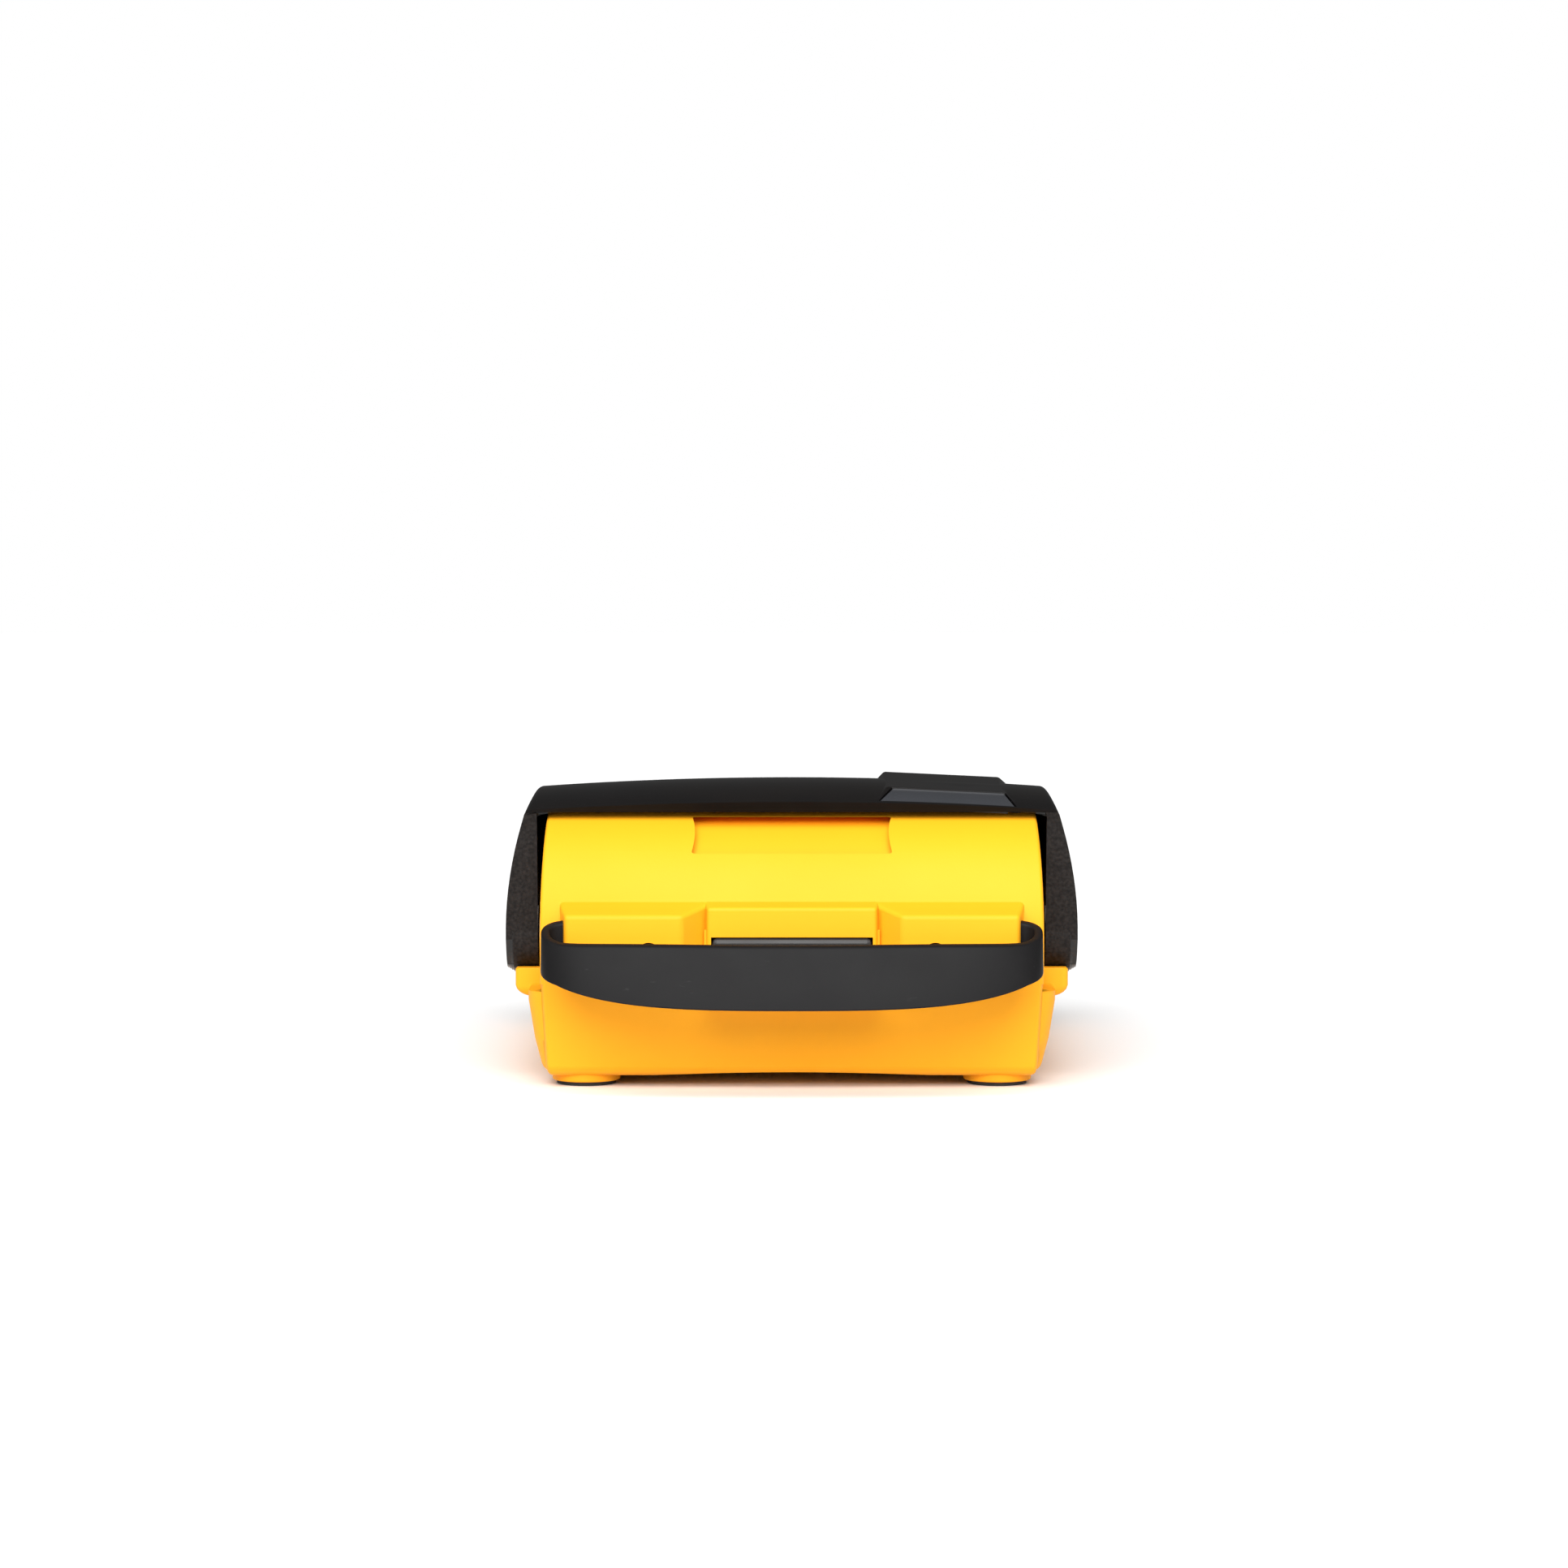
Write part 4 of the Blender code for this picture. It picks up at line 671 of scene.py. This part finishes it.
data = bpy.data.meshes.new("lid_moulding")
mesh.to_mesh(data)
mesh.free()
lid = bpy.data.objects.new("lid_moulding", data)
bpy.context.scene.collection.objects.link(lid)


def on_cut_edge(edge):
    """True for an edge that runs along the rim or the lower edge of the lid."""
    angles = edge.calc_face_angle(0)
    if angles < math.radians(40):
        return False
    middle = (edge.verts[0].co + edge.verts[1].co) / 2 - HINGE
    on_rim = abs(middle.y - front_edge(middle.z)) < 0.3 * MM
    return on_rim or abs(middle.z - LOWER_EDGE) < 0.2 * MM


def on_arm_front(edge):
    """The outer front edges of the arms, which are rounded more."""
    middle = (edge.verts[0].co + edge.verts[1].co) / 2 - HINGE
    return (on_cut_edge(edge) and abs(middle.x) > side_width(middle.z) - 0.3 * MM
            and middle.z > LOWER_EDGE + 0.3 * MM and middle.z < 48 * MM)


print(pick(lid, "EDGE", lambda e: on_cut_edge(e) and not on_arm_front(e)), "cut edges rounded")
bpy.ops.mesh.bevel(offset=0.7 * MM, segments=3, affect="EDGES", clamp_overlap=True)
close_mesh()
print(pick(lid, "EDGE", on_arm_front), "edges of the arms rounded")
bpy.ops.mesh.bevel(offset=3.2 * MM, segments=6, affect="EDGES", clamp_overlap=True)
close_mesh()

# %% [markdown]
# The raised display housing is a hipped block: a cube whose top is drawn in and
# tipped. The barrels are cylinders whose outer ends are stepped down by inset
# and extrude, twice, like the rings of a knob.

# %% Display housing and barrels
WINDOW_LOW, WINDOW_TOP = -20, -8          # near and far edges, in mm from the hinge


def housing_top(x, y):
    """Height of the housing's top plane over the hinge, all in mm."""
    return 53 - (x - 33.7) * 0.0476 + (y + 8) * 0.0739


housing = bar("housing", (-1, -1, -1), (1, 1, 1))
mesh = open_mesh(housing, "VERT")
bpy.ops.mesh.select_all(action="DESELECT")
upper = [face for face in mesh.faces if face.normal.z > 0.5][0]
upper.select_set(True)
bpy.ops.mesh.extrude_region_move(TRANSFORM_OT_translate={"value": (0, 0, 1)})
mesh = bmesh.from_edit_mesh(housing.data)
places = {-1: ((29, 81), (-20.3, 46)), 1: ((30, 80.5), (WINDOW_LOW, 41)),
          2: ((33.7, 75.7), (WINDOW_TOP, 36))}
for vert in mesh.verts:
    level = min(places, key=lambda key: abs(key - vert.co.z))
    across, along = places[level]
    x = across[1] if vert.co.x > 0 else across[0]
    y = along[1] if vert.co.y > 0 else along[0]
    if level == 1:
        z = housing_top(x, WINDOW_TOP) - 4.4 if y < 0 else (50 if x > 50 else 52)
    else:
        z = 42 if level == -1 else housing_top(x, y)
    vert.co = HINGE + Vector((x, y, z)) * MM
bmesh.update_edit_mesh(housing.data)
bpy.ops.mesh.select_all(action="SELECT")
bpy.ops.mesh.normals_make_consistent(inside=False)
close_mesh()
round_sharp(housing, 0.8 * MM, 4, 12)
columns = range(2 * (SIDE_STEPS + CORNER_STEPS + TOP_STEPS) + 1)
under_lid = []
for y in range(-34, 61, 2):
    ring = [arch(column, y * MM, WALL * 0.7, None) for column in columns]
    under_lid.append([HINGE + Vector((x, y * MM, z)) for x, z in ring])
combine(housing, skin("under_lid", under_lid), "DIFFERENCE")


def window_plate(name, margin, high, low):
    """A thin plate that follows the housing's near face, in mm."""
    piece = bar(name, (-1, -1, -1), (1, 1, 1))
    mesh = open_mesh(piece, "VERT")
    for vert in mesh.verts:
        far = vert.co.y > 0
        if vert.co.x > 0:
            x = 79.4 - 1.3 * margin - (3.6 if far else 0)
        else:
            x = 30.6 + 1.3 * margin + (5 if far else 0)
        y = WINDOW_TOP - margin if far else WINDOW_LOW + margin
        z = housing_top(x, WINDOW_TOP) + (y - WINDOW_TOP) * 0.37
        vert.co = HINGE + Vector((x, y, z - (low if vert.co.z < 0 else high))) * MM
    bmesh.update_edit_mesh(piece.data)
    bpy.ops.mesh.select_all(action="SELECT")
    bpy.ops.mesh.normals_make_consistent(inside=False)
    close_mesh()
    return piece


combine(lid, housing, "UNION")
for side in (-1, 1):
    start, length = ARM_INNER, LID_HALF - ARM_INNER - 2.4 * MM
    barrel = rod("barrel", "X", BARREL_RADIUS,
                 HINGE + Vector((side * (start + length / 2), 0, 0)), length, 128)
    end_face = HINGE.x + side * (start + length)
    for inset, rise in ((0.5, 0.9), (0.5, 0.8), (0.4, 0.7)):
        pick(barrel, "FACE", lambda f: abs(f.calc_center_median().x - end_face) < 1e-5)
        bpy.ops.mesh.inset(thickness=inset * MM, depth=0)
        bpy.ops.mesh.extrude_region_move(
            TRANSFORM_OT_translate={"value": (side * rise * MM, 0, 0)})
        close_mesh()
        end_face += side * rise * MM
    round_sharp(barrel, 0.18 * MM, 2, 50)
    combine(lid, barrel, "UNION")
    middle = HINGE + Vector((side * (ARM_INNER + 5 * MM), 0, 0))
    combine(lid, rod("pin_hole", "X", 4.3 * MM, middle, 30 * MM, 48), "DIFFERENCE")
    combine(lid, rod("cap_seat", "X", 11.6 * MM, HINGE + Vector((side * 108.5 * MM, 0, 0)),
                     20 * MM, 96), "DIFFERENCE")
    combine(lid, rod("head_seat", "X", 6.4 * MM, HINGE + Vector((side * 106.5 * MM, 0, 0)),
                     20 * MM, 48), "DIFFERENCE")
combine(lid, window_plate("window_seat", 0, -4, 2), "DIFFERENCE")
combine(lid, window_plate("panel_seat", 2, -4, 4.2), "DIFFERENCE")
settle(lid, "lid", "black_gloss_plastic", "lid_shell", angle=30, even=True)

# %% [markdown]
# ## Window, hinge caps and feet
#
# These are small turned and cut pieces. A cap starts as a cylinder whose face
# is inset and pushed in to a shallow dish, a foot has a groove pressed round
# it, and the window is a thin plate with its edges just broken.

# %% Window
window = window_plate("display_glass", 0.3, 0.3, 1.5)
round_sharp(window, 0.35 * MM, 3)
settle(window, "lid", "grey_window", "display_window")
panel = window_plate("display_screen", 2.3, 2.4, 3.6)
round_sharp(panel, 0.3 * MM, 2)
settle(panel, "lid", "charcoal_plastic", "display_panel")


# %% Hinge caps
for name, side in (("left", -1), ("right", 1)):
    low, high = (Vector(corner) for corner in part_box("hinge_cap_" + name))
    cap = rod("hinge_dish_" + name, "X", 11.3 * MM, (low + high) / 2, high.x - low.x, 96)
    face_x = high.x if side > 0 else low.x
    for inset, depth in ((0.9, 0), (2.6, 0.25), (2.8, 0.15), (2.6, 0.05)):
        pick(cap, "FACE", lambda f: len(f.verts) > 20
             and (f.calc_center_median().x - HINGE.x) * side > abs(face_x) - 1.2 * MM)
        bpy.ops.mesh.inset(thickness=inset * MM, depth=0)
        if depth:
            bpy.ops.transform.translate(value=(-side * depth * MM, 0, 0))
        close_mesh()
    round_sharp(cap, 0.7 * MM, 4, 60)
    settle(cap, "lid", "black_gloss_plastic", "hinge_cap_" + name)


# %% Rubber feet
for node in ("front_left", "front_right", "rear_left", "rear_right"):
    low, high = (Vector(corner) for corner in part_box("rubber_foot_" + node))
    foot = rod("rubber_disc_" + node, "Z", (high.x - low.x) / 2, (low + high) / 2,
               high.z - low.z, 64)
    round_sharp(foot, 0.4 * MM, 3, 60)
    pick(foot, "FACE", lambda f: len(f.verts) > 20 and f.normal.z < -0.9)
    bpy.ops.mesh.inset(thickness=2.2 * MM, depth=0)
    bpy.ops.mesh.inset(thickness=0.9 * MM, depth=-0.5 * MM)
    bpy.ops.mesh.inset(thickness=0.4 * MM, depth=0.5 * MM)
    close_mesh()
    settle(foot, "case", "black_rubber", "rubber_foot_" + node)

# %% [markdown]
# ## Key springs
#
# The two keys press on small coils. Each coil is a copy of the CAD spring that
# stands in for it, with a mesh of its own, and its length is printed.

# %% Key springs
for node, joint, axis, travel in (("shock_spring", "shock_press", 2, 1.2 * MM),
                                  ("release_spring", "release_press", 1, 2 * MM)):
    coil = bpy.data.objects.new(node.replace("spring", "coil"), frame["nodes"][node].data.copy())
    bpy.context.scene.collection.objects.link(coil)
    low, high = (Vector(corner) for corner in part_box(node))
    settle(coil, "case", "steel", node)
    length = high[axis] - low[axis]
    line = [0, 0, 0]
    line[axis] = 1
    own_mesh(coil)
    print(coil.name, round(length / MM, 1), "mm long")

# %% [markdown]
# ## The electrode pouch
#
# Under the lid lies a sealed foil pouch. It is the one soft thing inside, so it
# is blown up as cloth: a closed bag with a little air in it, no gravity, and
# every point held to a short way from where it began so that it keeps clear of
# the deck and the lid. A crimped seal runs round it at the bottom.

# %% Electrode pouch
BAG_PRESSURE, BAG_FRAMES = 4, 20
SHIFT_CAP = 1.5 * MM                 # how far a point may move from where it began
SEAL_WIDTH = 5 * MM
CRIMP_INSET, CRIMP_PITCH = 1.6 * MM, 1.3 * MM
pouch_low, pouch_high = (Vector(corner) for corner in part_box("electrode_packet"))
pouch = bpy.data.objects.new("electrode_pouch", frame["nodes"]["electrode_packet"].data.copy())
bpy.context.scene.collection.objects.link(pouch)
grid = pouch.modifiers.new("even_grid", "REMESH")
grid.mode, grid.voxel_size = "VOXEL", 3.5 * MM
only(pouch)
bpy.ops.object.modifier_apply(modifier=grid.name)
began = [vert.co.copy() for vert in pouch.data.vertices]
bag = pouch.modifiers.new("bag", "CLOTH")
bag.settings.use_pressure = True
bag.settings.uniform_pressure_force = BAG_PRESSURE
bag.settings.effector_weights.gravity = 0
bag.point_cache.frame_start, bag.point_cache.frame_end = 1, BAG_FRAMES
for moment in range(1, BAG_FRAMES + 1):
    bpy.context.scene.frame_set(moment)
only(pouch)
bpy.ops.object.modifier_apply(modifier=bag.name)
bpy.context.scene.frame_set(1)
for vert, start in zip(pouch.data.vertices, began):
    shift = vert.co - start
    if shift.length > SHIFT_CAP:
        vert.co = start + shift.normalized() * SHIFT_CAP
    vert.co.x = min(max(vert.co.x, pouch_low.x + SEAL_WIDTH), pouch_high.x - SEAL_WIDTH)
    vert.co.y = min(max(vert.co.y, pouch_low.y + SEAL_WIDTH), pouch_high.y - SEAL_WIDTH)
    vert.co.z = min(max(vert.co.z, pouch_low.z + 0.1 * MM), pouch_high.z + 0.3 * MM)
finer = pouch.modifiers.new("finer", "SUBSURF")
finer.levels = finer.render_levels = 1
only(pouch)
bpy.ops.object.modifier_apply(modifier=finer.name)
seal = bar("pouch_seal", (pouch_low.x, pouch_low.y, pouch_low.z + 0.4 * MM),
           (pouch_high.x, pouch_high.y, pouch_low.z + 1.0 * MM))
pick(seal, "EDGE", lambda e: abs((e.verts[0].co - e.verts[1].co).normalized().z) > 0.9)
bpy.ops.mesh.bevel(offset=6 * MM, segments=8, affect="EDGES")
close_mesh()
for side in (-1, 1):
    for line in range(3):
        inward = CRIMP_INSET + CRIMP_PITCH * line
        y = pouch_low.y + inward if side < 0 else pouch_high.y - inward
        crimp = rod("crimp", "X", 0.35 * MM, (0, y, pouch_low.z + 1.0 * MM),
                    pouch_high.x - pouch_low.x - 14 * MM, 12)
        combine(seal, crimp, "UNION")
settle(seal, "case", "foil_pouch")
settle(pouch, "case", "foil_pouch", "electrode_packet", angle=50)

# %% [markdown]
# ## The rubber strap
#
# The strap is one moulded band. Its flat ends are screwed inside the wings,
# leave them sideways, turn round tightly and bow out in front, and it grows
# wider towards the middle. A curve with a bevel has one width only, so the band
# is swept one ring at a time: a rounded cross-section is set square to a path at each step.

# %% Strap
STRAP_HALF = 85 * MM
STRAP_THICK = 3 * MM
DROOP = math.radians(19.5)
strap_reach = ((WING_REACH + 28 * MM + STRAP_PIVOT.y - HINGE.y
                - 11.2 * MM * math.sin(DROOP)) / math.cos(DROOP) - STRAP_THICK / 2)


def strap_path(t):
    """The right half's middle line: x and reach, from the wing to the centre."""
    turn = 7 * MM
    if t < 0.25:
        angle = math.pi / 2 * t / 0.25
        return STRAP_HALF - turn + turn * math.sin(angle), turn - turn * math.cos(angle)
    angle = math.pi / 2 * (t - 0.25) / 0.75
    return (STRAP_HALF * math.cos(angle) ** (2 / 2.6),
            turn + (strap_reach - turn) * math.sin(angle) ** (2 / 2.6))


def band_section(half_thick, half_high, soft):
    """A rounded rectangle, as (across, up) pairs."""
    points = []
    for cx, cz, start in ((1, 1, 0), (-1, 1, 90), (-1, -1, 180), (1, -1, 270)):
        for step in range(5):
            angle = math.radians(start + 22.5 * step)
            points.append((cx * (half_thick - soft) + soft * math.cos(angle),
                           cz * (half_high - soft) + soft * math.sin(angle)))
    return points


tongue_low = Vector(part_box("strap_tongue_right")[0])
tongue_steps = 8
half = [(tongue_low.x + (STRAP_HALF - 7 * MM - tongue_low.x) * i / tongue_steps, 0)
        for i in range(tongue_steps)]
half += [strap_path(i / 96) for i in range(97)]
path = half + [(-x, reach) for x, reach in reversed(half[:-1])]
rings = []
for i, (x, reach) in enumerate(path):
    before, after = path[max(i - 1, 0)], path[min(i + 1, len(path) - 1)]
    along = Vector((after[0] - before[0], after[1] - before[1])).normalized()
    across = Vector((-along.y, along.x))
    share = min(abs(x) / (80 * MM), 1)
    high = (22.4 - (22.4 - 14.6) * share ** 4) / 2 * MM
    droop = DROOP * min(max((reach - 0.2 * MM) / (13 * MM), 0), 1) ** 0.7
    ring = []
    for a, up in band_section(STRAP_THICK / 2, high, 0.9 * MM):
        out, level = reach + across.y * a, up
        ring.append(STRAP_PIVOT + Vector((
            x + across.x * a, -(out * math.cos(DROOP) - level * math.sin(droop)),
            -out * math.sin(DROOP) + level * math.cos(droop))))
    rings.append(ring)
strap = skin("carry_strap", rings)
for side in (-1, 1):
    low, high = (Vector(corner) for corner in
                 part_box("strap_screw_" + ("left" if side < 0 else "right")))
    centre = (low + high) / 2
    combine(strap, rod("screw_eye", "Y", 2.1 * MM, (centre.x, STRAP_PIVOT.y, centre.z),
                       12 * MM, 32), "DIFFERENCE")
settle(strap, None, "strap_rubber", "strap_handle", "strap_tongue_left",
       "strap_tongue_right")
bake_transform(strap)
print("strap bows out", round(strap_reach / MM, 1), "mm")

# %% [markdown]
# ## Shared surface effects
#
# Three effects come back on many pieces, so each is a node group that is built
# once: a fine moulded grain, a slow change of shade over a surface, and small
# scuffs. All read Object coordinates in metres, so a grain of 0.4 mm has the
# same size on every piece. A picture could be wrapped on instead, but a pattern
# worked out from the place has no seams.

# %% Node groups
def effect(name, inputs, outputs):
    group = bpy.data.node_groups.new(name, "ShaderNodeTree")
    for label, value in inputs:
        kind = "NodeSocketColor" if isinstance(value, tuple) else "NodeSocketFloat"
        socket = group.interface.new_socket(name=label, in_out="INPUT", socket_type=kind)
        socket.default_value = value
    for label, kind in outputs:
        group.interface.new_socket(name=label, in_out="OUTPUT", socket_type=kind)
    return group, group.nodes.new("NodeGroupInput"), group.nodes.new("NodeGroupOutput")


def add_node(tree, kind, links=(), **settings):
    """A node with its settings, and links given as (input, socket to join)."""
    node = tree.nodes.new(kind)
    for label, value in settings.items():
        if hasattr(node, label):
            setattr(node, label, value)
        else:
            node.inputs[label.replace("_", " ")].default_value = value
    for label, socket in links:
        tree.links.new(socket, node.inputs[label])
    return node


def math_node(tree, operation, first, second):
    node = tree.nodes.new("ShaderNodeMath")
    node.operation = operation
    for index, value in enumerate((first, second)):
        if isinstance(value, (int, float)):
            node.inputs[index].default_value = value
        else:
            tree.links.new(value, node.inputs[index])
    return node.outputs[0]


grain, given, result = effect("moulded_grain", [("Size", 2500.0), ("Softness", 0.5)],
                              [("Height", "NodeSocketFloat")])
place = grain.nodes.new("ShaderNodeTexCoord").outputs["Object"]
fine = add_node(grain, "ShaderNodeTexNoise", [("Vector", place), ("Scale", given.outputs[0]),
                                              ("Roughness", given.outputs[1])], Detail=3.0)
grain.links.new(fine.outputs["Fac"], result.inputs[0])

shade, given, result = effect("slow_shade", [("Color", (0.5, 0.5, 0.5, 1)),
                                             ("Other", (0.4, 0.4, 0.4, 1)),
                                             ("Size", 30.0), ("Amount", 0.3)],
                              [("Color", "NodeSocketColor"), ("Mask", "NodeSocketFloat")])
place = shade.nodes.new("ShaderNodeTexCoord").outputs["Object"]
cloud = add_node(shade, "ShaderNodeTexNoise", [("Vector", place), ("Scale", given.outputs[2])],
                 Detail=4.0)
spread = add_node(shade, "ShaderNodeMapRange", [("Value", cloud.outputs["Fac"])],
                  From_Min=0.35, From_Max=0.7)
amount = math_node(shade, "MULTIPLY", spread.outputs[0], given.outputs[3])
blend = add_node(shade, "ShaderNodeMix", data_type="RGBA")
shade.links.new(amount, blend.inputs["Factor"])
shade.links.new(given.outputs[0], blend.inputs[6])
shade.links.new(given.outputs[1], blend.inputs[7])
shade.links.new(blend.outputs[2], result.inputs[0])
shade.links.new(spread.outputs[0], result.inputs[1])

scuff, given, result = effect("light_scuffs", [("Size", 60.0), ("Rarity", 0.66)],
                              [("Mask", "NodeSocketFloat")])
place = scuff.nodes.new("ShaderNodeTexCoord").outputs["Object"]
drawn_out = add_node(scuff, "ShaderNodeMapping", [("Vector", place)],
                     Scale=(1.0, 7.0, 5.0), Rotation=(0.3, 0.2, 0.35))
marks = add_node(scuff, "ShaderNodeTexNoise", [("Vector", drawn_out.outputs[0]),
                                               ("Scale", given.outputs[0])],
                 Detail=8.0, Roughness=0.65)
over = math_node(scuff, "SUBTRACT", marks.outputs["Fac"], given.outputs[1])
scuff.links.new(math_node(scuff, "MULTIPLY", over, 9.0), result.inputs[0])
print("three shared effects")

# %% [markdown]
# ## Finishes
#
# Each finish is one Principled shader. The yellow is spark-eroded in the mould,
# so it has a soft satin grain; the lid is polished, so its gloss is broken only
# by a very slight waviness and a few hairline marks; rubber is matte and picks
# up pale scuffs. Constant values sit on the shader's own sockets, and only what
# changes over the surface comes from nodes.

# %% Finish maker
def finish(name, colour, other, rough, grain_size=2500, grain_depth=0.02, shade_size=25,
           shade_amount=0.5, rough_change=0.08, scuffs=0.0, metallic=0.0, shine=0.5):
    """A moulded finish: shade, grain and scuffs over one Principled shader."""
    made = bpy.data.materials.new(name)
    made.use_nodes = True
    tree = made.node_tree
    shader = tree.nodes["Principled BSDF"]
    shader.inputs["Metallic"].default_value = metallic
    shader.inputs["Specular IOR Level"].default_value = shine
    tone = tree.nodes.new("ShaderNodeGroup")
    tone.node_tree = shade
    tone.inputs["Color"].default_value = (*colour, 1)
    tone.inputs["Other"].default_value = (*other, 1)
    tone.inputs["Size"].default_value = shade_size
    tone.inputs["Amount"].default_value = shade_amount
    colour_out = tone.outputs["Color"]
    rough_out = math_node(tree, "MULTIPLY", tone.outputs["Mask"], rough_change)
    rough_out = math_node(tree, "ADD", rough_out, rough)
    if scuffs:
        marks = tree.nodes.new("ShaderNodeGroup")
        marks.node_tree = scuff
        mask = add_node(tree, "ShaderNodeMapRange", [("Value", marks.outputs["Mask"])],
                        To_Max=scuffs)
        pale = add_node(tree, "ShaderNodeMix", data_type="RGBA")
        tree.links.new(mask.outputs[0], pale.inputs["Factor"])
        tree.links.new(colour_out, pale.inputs[6])
        pale.inputs[7].default_value = tuple(min(c * 2.2 + 0.05, 1) for c in colour) + (1,)
        colour_out = pale.outputs[2]
        rough_out = math_node(tree, "ADD", rough_out,
                              math_node(tree, "MULTIPLY", mask.outputs[0], 0.25))
    tree.links.new(colour_out, shader.inputs["Base Color"])
    tree.links.new(rough_out, shader.inputs["Roughness"])
    texture = tree.nodes.new("ShaderNodeGroup")
    texture.node_tree = grain
    texture.inputs["Size"].default_value = grain_size
    bump = add_node(tree, "ShaderNodeBump", [("Height", texture.outputs["Height"])],
                    Strength=0.6, Distance=grain_depth * MM)
    tree.links.new(bump.outputs[0], shader.inputs["Normal"])
    return made


FINISHES = {
    "yellow_plastic": finish("satin_yellow", (0.93, 0.40, 0.012), (0.90, 0.375, 0.010), 0.48,
                             2200, 0.03, 18, 0.6, 0.07, shine=0.16),
    "black_gloss_plastic": finish("polished_black", (0.0045, 0.004, 0.004),
                                  (0.008, 0.006, 0.005), 0.075, 260, 0.012, 40, 0.5, 0.07,
                                  scuffs=0.05, shine=0.45),
    "charcoal_plastic": finish("charcoal_moulding", (0.022, 0.021, 0.021),
                               (0.03, 0.028, 0.027), 0.38, 3000, 0.04, 60, 0.5, 0.1,
                               shine=0.35),
    "strap_rubber": finish("strap_rubber_satin", (0.0065, 0.0062, 0.0065), (0.010, 0.0095, 0.010),
                           0.5, 3500, 0.03, 35, 0.7, 0.12, scuffs=0.4, shine=0.13),
    "black_rubber": finish("foot_rubber", (0.015, 0.015, 0.015), (0.024, 0.023, 0.022), 0.7,
                           2600, 0.05, 90, 0.6, 0.1, scuffs=0.2),
    "grey_window": finish("smoked_window", (0.035, 0.037, 0.042), (0.05, 0.052, 0.058), 0.10,
                          150, 0.006, 30, 0.4, 0.05),
    "steel": finish("plated_steel", (0.62, 0.61, 0.60), (0.5, 0.49, 0.48), 0.25, 5000, 0.01,
                    200, 0.5, 0.15, metallic=1.0),
    "green_plastic": finish("green_key", (0.03, 0.36, 0.09), (0.025, 0.30, 0.07), 0.34, 2600,
                            0.03, 40, 0.5, 0.06),
    "orange_plastic": finish("orange_key", (0.85, 0.16, 0.01), (0.8, 0.13, 0.01), 0.28, 1500,
                             0.02, 60, 0.5, 0.06),
    "red_plastic": finish("red_tab", (0.55, 0.015, 0.012), (0.48, 0.012, 0.01), 0.35, 2000,
                          0.03, 60, 0.5, 0.08),
    "foil_pouch": finish("foil_laminate", (0.72, 0.73, 0.75), (0.6, 0.61, 0.64), 0.28, 700,
                         0.12, 120, 0.6, 0.12, metallic=0.85),
    "circuit_board": finish("solder_mask", (0.012, 0.12, 0.045), (0.02, 0.17, 0.06), 0.32,
                            900, 0.05, 700, 0.8, 0.1),
    "cell_sleeve": finish("cell_sleeve_film", (0.06, 0.13, 0.38), (0.05, 0.11, 0.33), 0.3,
                          400, 0.03, 90, 0.5, 0.1),
    "white_nylon": finish("natural_nylon", (0.76, 0.75, 0.70), (0.7, 0.69, 0.63), 0.42, 2500,
                          0.03, 60, 0.5, 0.1),
}
GRAINED_BLACK = finish("grained_black", (0.006, 0.0052, 0.005), (0.024, 0.021, 0.02), 0.42,
                       2600, 0.09, 900, 0.8, 0.12, shine=0.16)
RIM_BLACK = finish("rim_black", (0.004, 0.0036, 0.0035), (0.006, 0.005, 0.005), 0.4,
                   2600, 0.02, 60, 0.5, 0.1, shine=0.1)
print(len(FINISHES), "finishes")


# %% Paint every piece
for piece, slot in NEW_PIECES:
    piece.data.materials.clear()
    piece.data.materials.append(FINISHES[slot])
for node in frame["nodes"].values():
    for place in node.material_slots:
        place.material = FINISHES[place.material.name]
lid.data.materials.append(GRAINED_BLACK)
lid.data.materials.append(RIM_BLACK)
for face in lid.data.polygons:
    middle = face.center - HINGE
    if face.normal.y > -0.5 or abs(middle.y - front_edge(middle.z)) > 2 * MM:
        continue
    if abs(middle.x) > ARM_INNER - 0.2 * MM and middle.z < 46 * MM:
        face.material_index = 1 if abs(middle.x) < LID_HALF - 3.4 * MM else 0
    elif abs(middle.x) < ARM_INNER:
        face.material_index = 2
print("painted", len(NEW_PIECES), "new pieces")
